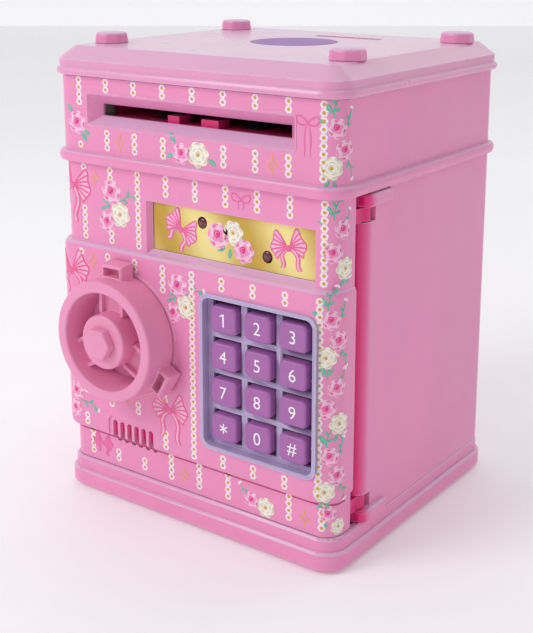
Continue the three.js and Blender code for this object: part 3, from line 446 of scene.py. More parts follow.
def refined(node, slot, edge=0.3, segments=2, angle=28, material=None, grow=0.0):
    """A finer stand-in for a CAD node: its facets are joined up again and its edges rounded.

    grow widens it by that much all round, so that it closes the fitting gap to its seat.
    """
    bm = bmesh.new()
    bm.from_mesh(frame["nodes"][node].data)
    for vert in bm.verts:
        vert.co = vert.co / MM - Vector((0, FRONT_Y, 0))
    if grow:
        x, _, z = node_centre(node)
        wide = 1 + 2 * grow / node_size(node, 0)
        high = 1 + 2 * grow / node_size(node, 2)
        for vert in bm.verts:
            vert.co.x = x + (vert.co.x - x) * wide
            vert.co.z = z + (vert.co.z - z) * high
    bmesh.ops.remove_doubles(bm, verts=bm.verts, dist=0.002)
    bmesh.ops.dissolve_limit(bm, angle_limit=radians(1.0), verts=bm.verts, edges=bm.edges)
    if edge:
        sharp = [e for e in bm.edges
                 if len(e.link_faces) == 2 and e.calc_face_angle() > radians(angle)]
        bmesh.ops.bevel(bm, geom=sharp, offset=edge, segments=segments, profile=0.5,
                        affect="EDGES", clamp_overlap=True)
    piece = new_piece(f"fine_{node}", bm, frame["nodes"][node]["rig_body"], slot, material, 52)
    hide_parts(node)


# ---- Housing, base, lid and door from their nodes ----


def build_shells():
    refined("base_plinth", "shell_pink", 0.25)
    refined("lower_housing", "shell_pink", 0.3, material=JAMB_SHADED_EDGE)
    refined("upper_housing", "shell_pink", 0.3)
    refined("lid", "lid_pink", 0.5, 3, angle=20)
    refined("door_shell", "shell_pink", 0.3)
    refined("door_cover", "mechanism_pink", 0.25, material=JAMB_PINK)
    refined("note_slot_bezel", "lid_pink", 0.25, material=BEZEL_PINK, grow=0.32)
    refined("keypad_frame", "keypad_lavender", 0.35, grow=0.32)
    refined("status_panel", "gold_foil", 0.0, grow=0.34)
    refined("battery_cover", "shell_pink", 0.2)


CORNERS = ("front_left", "front_right", "rear_left", "rear_right")
PLAIN_NODES = {
    "black_rubber": ["feed_roller_left", "feed_roller_right", "speaker"]
                    + [f"foot_{corner}" for corner in CORNERS],
    "bright_steel": ["battery_cover_screw", "battery_contact_front", "battery_contact_rear",
                     "hinge_pin_upper", "hinge_pin_lower", "feed_shaft", "feed_motor",
                     "lock_solenoid"] + [f"cover_screw_{i}" for i in (1, 2, 3, 4)],
    "mechanism_pink": ["mechanism_shelf", "note_guide", "coin_chute"],
    "white_nylon": ["feed_gear", "motor_pinion", "knob_spindle", "latch_bolt"],
    "silicone": ["keypad_membrane"],
    "circuit_board": ["control_board"],
}


def finish_plain_nodes():
    """Inside pieces keep their CAD mesh and only get a finish."""
    for slot, names in PLAIN_NODES.items():
        for name in names:
            node = frame["nodes"][name]
            node.data.materials.clear()
            node.data.materials.append(SLOT_MATERIALS[slot])


def build_grille_backing():
    """A magenta cloth behind the speaker slots, in the proud section and in the band below it."""
    x = node_centre("speaker")[0]
    half_width, thickness = 12.5, 0.4
    bm = bmesh.new()
    for low, high, y in ((Z_BAND + 2.45, 35.6, 0.55), (20.0, Z_BAND + 1.4, 3.25)):
        bevelled_box(bm, (x - half_width, y, low), (x + half_width, y + thickness, high), 0.1, 1)
    new_piece("grille_cloth", bm, "door", "mechanism_pink", CLOTH_PINK)


def build_cover_lip():
    """A strip that fills the mouth of the door shell beside the cover's free edge."""
    bm = bmesh.new()
    cover_edge = node_span("door_cover", 0)[0]
    back = node_span("door_shell", 1)[1]
    foot, head = Z_BAND + 2.3, Z_SAFE - 3.9
    bevelled_box(bm, (cover_edge - 1.4, back - 1.0, foot), (cover_edge + 0.4, back - 0.1, head),
                 0.15, 1)
    new_piece("door_cover_lip", bm, "door", "mechanism_pink", JAMB_PINK)


def build_guide_ribs():
    """Two low ribs on the note guide, seen through the slot."""
    floor = node_span("note_guide", 2)[1]
    front = node_span("note_guide", 1)[0]
    rib_front, rib_back, rib_height = front + 0.8, front + 7.5, 3.0
    for name, x, half in (("left", -10.8, 2.8), ("right", 6.2, 4.0)):
        bm = bmesh.new()
        bevelled_box(bm, (x - half, rib_front, floor - 0.2),
                     (x + half, rib_back, floor + rib_height), 0.4, 2)
        new_piece(f"guide_rib_{name}", bm, "housing", "mechanism_pink", JAMB_PINK)


def build_label():
    """The flat round label on the lid, with a hair of rounding at its rim."""
    x, y, _ = node_centre("lid_label")
    radius = node_size("lid_label", 0) / 2
    bottom, top = node_span("lid_label", 2)
    softness, segments = 0.12, 96
    profile = [(POINT, bottom), (radius, bottom), (radius, top - softness),
               (radius - softness, top), (POINT, top)]
    angles = [TAU * i / segments for i in range(segments)]
    bm = bmesh.new()
    loft(bm, [[(x + r * cos(angle), y + r * sin(angle), z) for angle in angles]
              for r, z in profile])
    piece = new_piece("lid_label_disc", bm, "housing", "label_purple")
    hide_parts("lid_label")


def build_lid_bolts():
    """Eight-sided moulded bolt heads with a rounded, slightly crowned top."""
    taper, shoulder = 0.35, 1.25
    for corner in CORNERS:
        node = f"lid_bolt_{corner}"
        x, y, _ = node_centre(node)
        radius = node_size(node, 0) / 2 / cos(pi / 8)
        top = node_span(node, 2)[1]
        bottom = LID_TOP + 0.05
        levels = [(0.25, bottom), (0.0, bottom + 0.3), (taper, top - shoulder)]
        levels += [(taper + inset, top - shoulder + rise) for inset, rise in quarter(1.1, 5)[1:]]
        levels += [(3.4, top - 0.05), (6.2, top)]
        rings = []
        for inset, z in levels:
            size = radius - inset
            rings.append(octagon_ring(x, y, z, size, soft=min(0.9, size * 0.14)))
        bm = bmesh.new()
        loft(bm, rings)
        piece = new_piece(f"bolt_head_{corner}", bm, "housing", "shell_pink", smooth=35)
        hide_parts(node)


def octagon_ring(x, y, z, radius, soft):
    """An octagon with softened corners, three points to a corner."""
    corners = [Vector((cos(TAU * (i + 0.5) / 8), sin(TAU * (i + 0.5) / 8))) * radius
               for i in range(8)]
    points = []
    for i, corner in enumerate(corners):
        before = (corners[i - 1] - corner).normalized() * soft
        after = (corners[(i + 1) % 8] - corner).normalized() * soft
        points += [corner + before, corner + (before + after) * 0.25, corner + after]
    return [(x + p.x, y + p.y, z) for p in points]


# ---- Knob ----

KNOB_X, KNOB_Z = node_centre("knob_spindle")[0], node_centre("knob_spindle")[2]
KNOB_FRONT, KNOB_BACK = node_span("knob_wheel", 1)
KNOB_OUTER, KNOB_INNER, KNOB_HUB = 23.6, 19.1, 10.6  # radii of the ring and the hub
SPOKES = (90, 210, 330)
SPOKE_HALF, SPOKE_DEPTH, SPOKE_WALL, SPOKE_WALL_DEPTH = 5.2, 5.6, 0.8, 7.4
SPOKE_BACK = -0.05


def build_knob():
    """The ring, the hub, three walled spokes and a grip lug outside each of them."""
    centre = (KNOB_X, KNOB_BACK, KNOB_Z)
    rim = KNOB_BACK - KNOB_FRONT
    bm = bmesh.new()
    profile = [(KNOB_INNER - 1.5, 0.0), (KNOB_OUTER + 0.55, 0.0), (KNOB_OUTER + 0.6, 0.4)]
    profile += [(KNOB_OUTER - inset, rim - 1.0 + rise) for inset, rise in quarter(1.0, 4)]
    profile += [(KNOB_INNER + inset, rim - 0.9 + rise)
                for inset, rise in reversed(quarter(0.9, 4))]
    profile += [(KNOB_INNER - 1.4, 0.4)]
    lathe(bm, profile, 112, centre, around=True)
    hub_top = rim - 0.1
    hub_profile = [(POINT, 0.0), (KNOB_HUB + 0.5, 0.0), (KNOB_HUB + 0.45, 0.5)]
    hub_profile += [(KNOB_HUB - inset, hub_top - 1.0 + rise) for inset, rise in quarter(1.0, 5)]
    hub_profile += [(POINT, hub_top)]
    lathe(bm, hub_profile, 80, centre)
    near, far = KNOB_HUB - 1, KNOB_INNER + 0.6
    for angle in SPOKES:
        turn = Matrix.Translation(centre) @ Matrix.Rotation(-radians(angle), 4, "Y")
        bevelled_box(bm, (near, -SPOKE_DEPTH, -SPOKE_HALF), (far, SPOKE_BACK, SPOKE_HALF), 0.3, 2,
                     turn)
        for wall in (-SPOKE_HALF, SPOKE_HALF):
            bevelled_box(bm, (near, -SPOKE_WALL_DEPTH, wall - SPOKE_WALL),
                         (far, SPOKE_BACK, wall + SPOKE_WALL), 0.3, 2, turn)
        add_lug(bm, turn)
    piece = new_piece("knob_wheel_fine", bm, "knob", "knob_pink", smooth=50)
    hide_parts("knob_wheel")


def build_knob_cap():
    """The hexagonal cap, with softened corners and a rounded front edge."""
    cap_front = node_span("knob_cap", 1)[0]
    cap_radius = node_size("knob_cap", 0) / 2
    edge = 0.9
    levels = [(0.0, KNOB_FRONT - 0.15), (0.0, cap_front + edge)]
    levels += [(inset, cap_front + edge - rise) for inset, rise in quarter(edge, 4)[1:]]
    levels += [(cap_radius - 0.5, cap_front)]
    corner_points = ((-0.06, 1 / 1.033), (0.0, 0.985), (0.06, 1 / 1.033))  # (turn, reach)
    rings = []
    for inset, y in levels:
        radius = cap_radius - inset
        ring = []
        for i in range(6):
            for step, reach in corner_points:
                angle = TAU * i / 6 + step
                ring.append((KNOB_X + radius * reach * cos(angle), y,
                             KNOB_Z + radius * reach * sin(angle)))
        rings.append(ring)
    bm = bmesh.new()
    loft(bm, rings)
    piece = new_piece("knob_cap_fine", bm, "knob", "knob_pink")
    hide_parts("knob_cap")


def add_lug(bm, turn):
    """A tapered grip lug outside the ring, with a square pocket in its front."""
    near, far, half = KNOB_OUTER - 1.5, KNOB_OUTER + 5.6, 5.4
    mouth, pocket_depth = -6.6, 4.4
    # (y, inner x, outer x, half height) of each section, from the back round into the pocket
    sections = [(-0.05, near, far, half), (-5.9, near, far - 0.35, half - 0.25),
                (mouth, near, far - 1.0, half - 0.8), (mouth, near + 2.0, far - 1.8, 3.9),
                (mouth + pocket_depth, near + 2.1, far - 1.9, 3.75)]
    rings = [[turn @ Vector(point) for point in ((x0, y, -hz), (x1, y, -hz), (x1, y, hz), (x0, y, hz))]
             for y, x0, x1, hz in sections]
    verts = loft(bm, rings)
    edges = list({edge for vert in verts for edge in vert.link_edges})
    bmesh.ops.bevel(bm, geom=edges, offset=0.3, segments=2, profile=0.5, affect="EDGES",
                    clamp_overlap=True)


# ---- Keys ----

KEY_FACES = {digit: digit for digit in "123456789"} | {"star": "*", "0": "0", "hash": "#"}
KEY_COLLAR = 0.9  # hidden flange round the foot of a key
KEY_CORNER, KEY_EDGE = 2.0, 1.1
LEGEND_HEIGHT = 4.9
DIGIT_SHARE = 0.72  # height of a digit as a share of the font's size
LEGEND_SINK, LEGEND_RISE = 0.04, 0.07  # below and above the key's face
WHITE_INK = ink("legend_white", linear(250, 246, 252), 0.45, 0.03)


def build_keys():
    """Pillow-shaped caps with a slightly hollow face, and a printed figure on each."""
    for name, legend in KEY_FACES.items():
        node = f"key_{name}"
        x, _, z = node_centre(node)
        front, back = node_span(node, 1)
        half_x = node_size(node, 0) / 2 - KEY_COLLAR - 0.15
        half_z = node_size(node, 2) / 2 - KEY_COLLAR - 0.45
        levels = [(0.0, back - 0.05), (0.05, front + KEY_EDGE + 0.2)]
        levels += [(0.05 + inset, front + KEY_EDGE - rise)
                   for inset, rise in quarter(KEY_EDGE, 5)[1:]]
        hollow = [(2.6, front + 0.06), (4.6, front + 0.1)]
        rings = []
        for inset, y in levels + hollow:
            hx, hz = half_x - inset, half_z - inset
            corner = min(KEY_CORNER, 0.9 * hx, 0.9 * hz)
            rings.append([(px, y, pz) for px, pz in rounded_ring(x, z, hx, hz, corner)])
        bm = bmesh.new()
        loft(bm, rings)
        body = f"{node}_button"
        piece = new_piece(f"{node}_cap", bm, body, "key_purple", smooth=50)
        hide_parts(node)
        build_legend(name, legend, x, front + 0.04, z, body)


def star_outline(arms=6, reach=1.9, half=0.24, waist=0.45):
    """Narrow straight arms round a point, the first one upright."""
    outline = []
    for i in range(arms):
        angle = TAU * (0.25 + i / arms)
        for out, side in ((reach, -half), (reach, half), (waist, half)):
            outline.append((out * cos(angle) - side * sin(angle),
                            out * sin(angle) + side * cos(angle)))
    return outline


def one_outline():
    """A plain 1: a stem with a slanting flag and no foot."""
    top, bottom = LEGEND_HEIGHT / 2, -LEGEND_HEIGHT / 2
    flag, left, right = -1.3, -0.05, 0.6
    return [(left, top), (flag, top - 0.7), (flag, top - 1.25), (left, top - 0.7), (left, bottom),
            (right, bottom), (right, top)]


DRAWN_LEGENDS = {"*": star_outline(), "1": one_outline()}


def build_legend(name, text, x, y, z, body):
    """The key's printed figure: a thin closed piece, drawn here or made from outline text."""
    if text in DRAWN_LEGENDS:
        bm = bmesh.new()
        loft(bm, [[(x + px, y + depth, z + pz) for px, pz in DRAWN_LEGENDS[text]]
                  for depth in (LEGEND_SINK, -LEGEND_RISE)])
    else:
        bm = text_mesh(name, text, x, y, z)
    new_piece(f"legend_{name}", bm, body, "key_purple", WHITE_INK, weighted=False)


def text_mesh(name, text, x, y, z):
    """Outline text as a thin mesh centred on a point of the front."""
    curve = bpy.data.curves.new(f"text_{name}", "FONT")
    curve.body = text
    curve.size = LEGEND_HEIGHT / DIGIT_SHARE
    curve.align_x = "CENTER"
    curve.extrude = LEGEND_RISE
    curve.offset = -0.02
    holder = bpy.data.objects.new(f"text_{name}", curve)
    bpy.context.scene.collection.objects.link(holder)
    bpy.context.view_layer.update()
    mesh = bpy.data.meshes.new_from_object(holder)
    bpy.data.objects.remove(holder)
    bm = bmesh.new()
    bm.from_mesh(mesh)
    bpy.data.meshes.remove(mesh)
    bmesh.ops.remove_doubles(bm, verts=bm.verts, dist=0.0005)
    xs = [v.co.x for v in bm.verts]
    ys = [v.co.y for v in bm.verts]
    mid_x, mid_y = (min(xs) + max(xs)) / 2, (min(ys) + max(ys)) / 2
    for vert in bm.verts:
        vert.co = Vector((x + vert.co.x - mid_x, y - vert.co.z, z + vert.co.y - mid_y))
    return bm


def build_leds():
    """Domed lenses of the gold panel's two lights."""
    radius, dome = 1.9, 0.7
    for name in ("upper", "lower"):
        node = f"status_led_{name}"
        x, _, z = node_centre(node)
        front, back = node_span(node, 1)
        depth = back - front
        profile = [(POINT, 0.0), (radius, 0.0)]
        for angle in (radians(a) for a in (0, 20, 40, 60, 80)):
            profile.append((radius * cos(angle), depth - dome + dome * sin(angle)))
        profile.append((POINT, depth))
        bm = bmesh.new()
        lathe(bm, profile, 40, (x, back, z))
        piece = new_piece(f"led_dome_{name}", bm, "door", "led_lens")
        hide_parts(node)


# ---- Printed decoration ----
# Motifs are drawn flat, in (s, z): s runs along the body's outline from its centre plane. They
# are thin closed pieces wrapped onto the front and round its corners.

INK_COLOURS = {
    "blossom": (252, 232, 244), "petal_pale": (251, 206, 228), "petal_mid": (243, 148, 196),
    "petal_deep": (228, 52, 140), "cream": (248, 242, 228), "cream_shade": (224, 212, 188),
    "gold": (214, 166, 60), "shadow_line": (196, 70, 122), "gold_line": (236, 176, 92),
    "leaf": (92, 188, 158), "leaf_light": (150, 216, 192), "ribbon_deep": (238, 104, 160),
    "ribbon_pale": (248, 184, 214), "ribbon_soft": (232, 112, 172),
}
INK_ROUGHNESS = {"gold": 0.32, "gold_line": 0.32, "shadow_line": 0.6}
INKS = {name: ink(f"ink_{name}", linear(*colour), INK_ROUGHNESS.get(name, 0.42))
        for name, colour in INK_COLOURS.items()}
LAYER = 0.035  # how much higher each layer of a print lies
SINK = 0.08  # how deep a print reaches below its surface, so that it closes
STAGGER = 0.0015  # keeps overlapping prints of one layer out of the same plane


class Print:
    """Collects flat shapes by ink, wraps them onto an outline and makes one piece per ink."""

    def __init__(self, name, body, offset, flat_y=None, hinge_inset=0.0):
        self.name, self.body, self.offset, self.flat_y = name, body, offset, flat_y
        self.hinge_inset = hinge_inset
        self.shapes = {}

    def wrap(self, s, z, height):
        if self.flat_y is not None:
            return (s, self.flat_y - height, z)
        radius = CORNER + self.offset
        side = 1 if s >= 0 else -1
        flat_half = FLAT_HALF - (self.hinge_inset if s >= 0 else 0.0)
        run = abs(s) - flat_half
        if run <= 0:
            return (s, -self.offset - height, z)
        angle = run / radius
        if angle <= pi / 2:
            reach = radius + height
            return (side * (flat_half + reach * sin(angle)), CORNER - reach * cos(angle), z)
        return (side * (flat_half + radius + height), CORNER + run - radius * pi / 2, z)

    def add(self, ink_name, centre, outline, layer, rings=2):
        self.shapes.setdefault(ink_name, []).append((centre, outline, layer, rings))

    def stroke(self, ink_name, path, width, layer, taper=True):
        """A line of a given width: one closed strip along a path."""
        count = len(path)
        left, right = [], []
        for i, (s, z) in enumerate(path):
            s0, z0 = path[max(0, i - 1)]
            s1, z1 = path[min(count - 1, i + 1)]
            length = hypot(s1 - s0, z1 - z0) or 1.0
            part = i / (count - 1)
            half = width / 2 * (max(0.25, sin(pi * (0.08 + 0.84 * part))) if taper else 1)
            nx, nz = -(z1 - z0) / length * half, (s1 - s0) / length * half
            left.append((s + nx, z + nz))
            right.append((s - nx, z - nz))
        self.shapes.setdefault(ink_name, []).append((None, (left, right), layer, 0))

    def build(self):
        for ink_name, shapes in self.shapes.items():
            bm = bmesh.new()
            for index, (centre, outline, layer, rings) in enumerate(shapes):
                top = 0.05 + LAYER * layer + STAGGER * (index % 16)
                if centre is None:
                    self.build_stroke(bm, outline, top)
                else:
                    self.build_patch(bm, centre, outline, top, rings)
            slot = "shell_pink" if self.flat_y is None else "gold_foil"
            new_piece(f"print_{self.name}_{ink_name}", bm, self.body, slot, INKS[ink_name],
                      weighted=False)

    def build_patch(self, bm, centre, outline, top, rings):
        cs, cz = centre
        upper = []
        for k in range(1, rings + 1):
            share = k / rings
            upper.append([bm.verts.new(self.wrap(cs + (s - cs) * share, cz + (z - cz) * share, top))
                          for s, z in outline])
        hub = bm.verts.new(self.wrap(cs, cz, top))
        count = len(outline)
        for i in range(count):
            j = (i + 1) % count
            bm.faces.new((hub, upper[0][i], upper[0][j]))
            for inner, outer in zip(upper, upper[1:]):
                bm.faces.new((inner[i], outer[i], outer[j], inner[j]))
        lower = [bm.verts.new(self.wrap(s, z, -SINK)) for s, z in outline]
        base = bm.verts.new(self.wrap(cs, cz, -SINK))
        for i in range(count):
            j = (i + 1) % count
            bm.faces.new((upper[-1][i], lower[i], lower[j], upper[-1][j]))
            bm.faces.new((base, lower[j], lower[i]))

    def build_stroke(self, bm, sides, top):
        loft(bm, [[self.wrap(*left, top), self.wrap(*right, top), self.wrap(*right, -SINK),
                   self.wrap(*left, -SINK)] for left, right in zip(*sides)])


def lobed(centre, radius, lobes, depth, turn=0.0, points=None):
    """A round outline with shallow lobes, like a blossom seen from above."""
    count = points or lobes * 6
    outline = []
    for i in range(count):
        angle = TAU * i / count
        reach = radius * (1 - depth + depth * abs(cos(lobes * angle / 2)))
        outline.append((centre[0] + reach * cos(angle + turn),
                        centre[1] + reach * sin(angle + turn)))
    return outline


def arc_path(centre, radius, start, sweep, steps=6):
    path = []
    for i in range(steps + 1):
        angle = start + sweep * i / steps
        path.append((centre[0] + radius * cos(angle), centre[1] + radius * sin(angle)))
    return path


def curve_path(start, bend, end, steps=8):
    """A quadratic curve between two points, pulled towards a third."""
    path = []
    for i in range(steps + 1):
        t = i / steps
        path.append(tuple((1 - t) ** 2 * a + 2 * t * (1 - t) * b + t * t * c
                          for a, b, c in zip(start, bend, end)))
    return path


def daisy(sheet, s, z, turn=0.0):
    sheet.add("blossom", (s, z), lobed((s, z), 1.5, 6, 0.16, turn), 0)
    sheet.add("gold", (s, z), lobed((s, z), 0.62, 1, 0.0, points=10), 2, rings=1)


def rose(sheet, s, z, radius, turn=0.0, cream=False):
    """A cabbage rose: an outer frill, rolled petals drawn as crescents, and a dark heart."""
    pale, mid, deep = (("cream", "cream_shade", "gold") if cream
                       else ("petal_pale", "petal_mid", "petal_deep"))
    c = (s, z)
    sheet.add(pale, c, lobed(c, radius, 7, 0.16, turn), 1, rings=3)
    for i in range(6):
        start = turn + TAU * i / 6
        sheet.stroke(mid, arc_path(c, radius * 0.82, start, 0.8), radius * 0.2, 2)
        if not cream and i % 2:
            sheet.stroke(deep, arc_path(c, radius * 0.7, start + 0.25, 0.5), radius * 0.09, 3)
    if not cream:
        sheet.add(mid, c, lobed(c, radius * 0.6, 5, 0.12, turn + 0.4), 2)
        for i in range(4):
            start = turn + 0.5 + TAU * i / 4
            sheet.stroke(pale, arc_path(c, radius * 0.5, start, 1.05), radius * 0.13, 3)
        heart = (s - radius * 0.08, z + radius * 0.12)
        sheet.add(deep, heart, lobed(heart, radius * 0.3, 3, 0.12, turn), 3)
        sheet.stroke(mid, arc_path(heart, radius * 0.16, turn, 4.2, 8), radius * 0.08, 4)
        return
    for i in range(5):
        start = turn + 0.4 + TAU * i / 5
        sheet.stroke(mid, arc_path(c, radius * 0.5, start, 0.95), radius * 0.11, 2)
    sheet.stroke(mid, arc_path(c, radius * 0.24, turn, 4.4, 8), radius * 0.09, 2)
    sheet.add(deep, c, lobed(c, radius * 0.15, 1, 0.0, points=8), 3, rings=1)


def leaf(sheet, s, z, length, heading):
    """An almond leaf that starts at (s, z), with a lighter midrib; its heading is in degrees."""
    outline = []
    steps = 6
    ux, uz = cos(radians(heading)), sin(radians(heading))
    for side in (1, -1):
        for i in range(steps):
            t = i / steps if side == 1 else 1 - i / steps
            half = length * 0.21 * sin(pi * t) ** 0.8 * side
            outline.append((s + ux * length * t - uz * half, z + uz * length * t + ux * half))
    middle = (s + ux * length / 2, z + uz * length / 2)
    sheet.add("leaf", middle, outline, 0)
    sheet.stroke("leaf_light", [(s + ux * length * t, z + uz * length * t)
                                for t in (0.12, 0.4, 0.7, 0.92)], length * 0.07, 1)


def sprig(sheet, s, z, length, heading, bend=0.5, leaves=3, buds=True):
    """A curved stem with leaves on either side and pale buds at its tip."""
    angle = radians(heading)
    tip = (s + length * cos(angle), z + length * sin(angle))
    side = (cos(angle + pi / 2), sin(angle + pi / 2))
    pull = (s + length * 0.5 * cos(angle) + side[0] * bend * length * 0.4,
            z + length * 0.5 * sin(angle) + side[1] * bend * length * 0.4)
    path = curve_path((s, z), pull, tip, 8)
    sheet.stroke("leaf", path, 0.42, 0, taper=False)
    for i in range(leaves):
        at_s, at_z = path[2 + 2 * i]
        spread = 45.8 if i % 2 else -45.8
        leaf(sheet, at_s, at_z, length * 0.3, heading + spread)
    if buds:
        for turn in (-0.7, 0.0, 0.7):
            b = (tip[0] + 0.9 * cos(angle + turn), tip[1] + 0.9 * sin(angle + turn))
            sheet.add("blossom", b, lobed(b, 0.5, 4, 0.15), 1, rings=1)


def sparkle(sheet, s, z, height):
    """A four-pointed star drawn as a thin gold outline."""
    reach, rise = 0.34 * height, 0.5 * height
    tips = [(s + reach, z), (s, z + rise), (s - reach, z), (s, z - rise)]
    for tip, following in zip(tips, tips[1:] + tips[:1]):
        sheet.stroke("gold_line", curve_path(tip, (s, z), following, 5), 0.34, 1, taper=False)


def bow(sheet, s, z, size, tilt, tail_length, colours=("ribbon_deep", "ribbon_pale")):
    """A ribbon bow: two fanned loops with stripes, two waving tails and a knot.

    The tilt is in degrees, and the tails' length is given in sizes of the bow.
    """
    edge, fill = colours
    turn = radians(tilt)
    steps = 12

    def spot(u, v):
        return (s + size * (u * cos(turn) - v * sin(turn)),
                z + size * (u * sin(turn) + v * cos(turn)))

    for side in (1, -1):
        rim = []
        for i in range(steps + 1):
            angle = radians(-36 + 92 * i / steps)
            reach = 0.94 + 0.07 * cos(7 * angle)
            rim.append((side * reach * cos(angle), reach * sin(angle) + 0.08))
        sheet.add(fill, spot(side * 0.5, 0.1), [spot(0, 0)] + [spot(u, v) for u, v in rim], 1)
        for u, v in rim[::2]:
            bend = spot(u * 0.45, v * 0.45 + 0.1)
            stripe = curve_path(spot(side * 0.05, 0.01), bend, spot(u * 0.97, v * 0.97), 7)
            sheet.stroke(edge, stripe, size * 0.07, 2, taper=False)
        sheet.stroke(edge, [spot(u * 0.985, v * 0.985) for u, v in rim], size * 0.05, 2,
                     taper=False)
    for side, drop in ((1, tail_length), (-1, tail_length * 0.82)):
        for lane, colour, layer in ((-1, edge, 1), (0, fill, 2), (1, edge, 1)):
            points = []
            for i in range(steps + 1):
                t = i / steps
                wave = 0.16 * sin(t * 5.2) * side
                points.append(spot(side * (0.08 + 0.55 * t) + wave + lane * 0.075, -drop * t))
            sheet.stroke(colour, points, size * 0.1, layer, taper=False)
    knot = spot(0, 0)
    sheet.add(edge, knot, lobed(knot, size * 0.15, 4, 0.1), 4)


def line_bow(sheet, s, z, size, tail, width):
    """A bow drawn with single pen lines."""
    colour = "ribbon_soft"
    for side in (1, -1):
        loop = []
        for i in range(15):
            t = TAU * i / 14
            reach = size * 0.5 * (1 - cos(t))
            loop.append((s + side * reach, z + size * 0.42 * sin(t) * (0.4 + 0.6 * reach / size)
                         + reach * 0.28))
        sheet.stroke(colour, loop, width, 1, taper=False)
        tail_path = []
        for i in range(11):
            t = i / 10
            tail_path.append((s + side * size * (0.05 + 0.34 * t + 0.1 * sin(5 * t)),
                              z - size * tail * t))
        sheet.stroke(colour, tail_path, width * 0.9, 1)
    sheet.add(colour, (s, z), lobed((s, z), size * 0.13, 4, 0.1), 2, rings=1)


# Columns of daisies, the same on every section of the front.
COLUMN_FIRST, COLUMN_PITCH, COLUMNS = -52.0, 13.9, 9
DAISY_PITCH = 2.74


def column_s(k):
    return COLUMN_FIRST + COLUMN_PITCH * k


def daisy_columns(sheet, z_low, z_high, blocked):
    """Fills the columns with daisies from top to bottom, leaving out the blocked areas."""
    for k in range(COLUMNS):
        s = column_s(k)
        z = z_high - 1.5
        while z > z_low + 1.3:
            if not any(area(s, z) for area in blocked):
                daisy(sheet, s, z, 0.26 if int(z) % 2 else 0.0)
            z -= DAISY_PITCH


def rectangle(s0, s1, z0, z1):
    return lambda s, z: s0 < s < s1 and z0 < z < z1


def disc(cs, cz, radius):
    return lambda s, z: hypot(s - cs, z - cz) < radius


def margin_round(node, left, right, below, above):
    """The area of a CAD node with a margin on each side."""
    x_span, z_span = node_span(node, 0), node_span(node, 2)
    return rectangle(x_span[0] - left, x_span[1] + right, z_span[0] - below, z_span[1] + above)


def posy(sheet, s, z, scale):
    """Two roses and a cream one, with a sprig reaching out: the front's main bouquet."""
    sprig(sheet, s + 2 * scale, z + scale, 10 * scale, 22)
    sprig(sheet, s - 1, z + 2 * scale, 6 * scale, 215, leaves=2, buds=False)
    leaf(sheet, s - 4.4 * scale, z - 1.2 * scale, 3.4 * scale, 200)
    leaf(sheet, s - 3.6 * scale, z + 0.2, 3.0 * scale, 150)
    rose(sheet, s - 1.6 * scale, z + 5.0 * scale, 4.9 * scale, 0.3)
    rose(sheet, s - 4.2 * scale, z - 7.0 * scale, 4.2 * scale, 1.1)
    rose(sheet, s + 2.6 * scale, z - 3.4 * scale, 5.0 * scale, 0.7, cream=True)


def corner_spray(sheet, z, rose_gap=7.6, flip=False, shift=0.0):
    """A climbing spray that wraps the right corner: two roses, a cream one and trailing stems."""
    s = FLAT_HALF + 6.5 + shift
    sprig(sheet, s - 1, z + 8, 8.5, 70, 0.6)
    sprig(sheet, s + 2, z + 4, 7.5, 62, -0.5, leaves=2)
    leaf(sheet, s - 3.4, z + 6.5, 3.4, 165)
    leaf(sheet, s - 1.5, z + 9.5, 4.0, 120)
    first, second = (s + 0.2, s + 3.2) if not flip else (s + 2.6, s - 1.2)
    rose(sheet, first, z + 4.6, 3.6, 0.2)
    rose(sheet, second, z + 4.6 - rose_gap, 3.7, 0.9)
    low_s = (s - 1.6) if not flip else (s + 3.8)
    rose(sheet, low_s, z + 4.6 - rose_gap - 5.8, 4.1, 0.5, cream=True)
    sprig(sheet, s + 3.6, z - 5, 7.5, -68, 0.4, leaves=2, buds=True)
    leaf(sheet, low_s - 0.6, z - 12.6, 3.2, 235)
    leaf(sheet, low_s + 0.6, z - 12.6, 2.8, 290)


def print_upper():
    sheet = Print("upper", "housing", UPPER)
    blocked = [margin_round("note_slot_bezel", 1.8, 1.8, 1.6, 1.6), disc(3.6, 146, 9),
               disc(-53, 152, 6)]
    daisy_columns(sheet, BEAD_TOP, LID_BOTTOM - 0.2, blocked)
    sparkle(sheet, -31.4, 146.2, 7.2)
    sparkle(sheet, 38.6, 146.0, 7.2)
    leaf(sheet, -4.4, 149.0, 4.6, 125)
    leaf(sheet, -5.0, 144.6, 4.0, 195)
    leaf(sheet, 10.6, 144.8, 4.4, -28)
    rose(sheet, -1.6, 145.4, 4.1, 0.6)
    rose(sheet, 6.2, 145.8, 4.9, 0.2, cream=True)
    leaf(sheet, -51.4, 148.4, 4.4, -50)
    leaf(sheet, -50.0, 149.0, 3.6, -20)
    leaf(sheet, -55.6, 155.6, 4.0, 130)
    rose(sheet, -53.4, 152.0, 4.6, 0.4)
    line_bow(sheet, 53.0, 161.6, 4.6, tail=2.5, width=0.6)
    corner_spray(sheet, 155.8, 7.4)
    sheet.build()


def print_head():
    sheet = Print("head", "door", HEAD)
    blocked = [margin_round("status_panel", 3.6, 2.2, 4, 2.6), disc(-36.5, 120.5, 9.5),
               disc(-57, 126, 8), disc(26, 131.5, 4.6)]
    daisy_columns(sheet, Z_SAFE, DOOR_TOP, blocked)
    bow(sheet, -58.4, 126.5, 9.8, -14, tail_length=1.35)
    sparkle(sheet, -46.0, 131.0, 6.6)
    posy(sheet, -36.0, 121.5, 1.0)
    line_bow(sheet, 24.4, 131.6, 4.2, tail=0.8, width=0.55)
    corner_spray(sheet, 121.4, 8.0, flip=True)
    sheet.build()


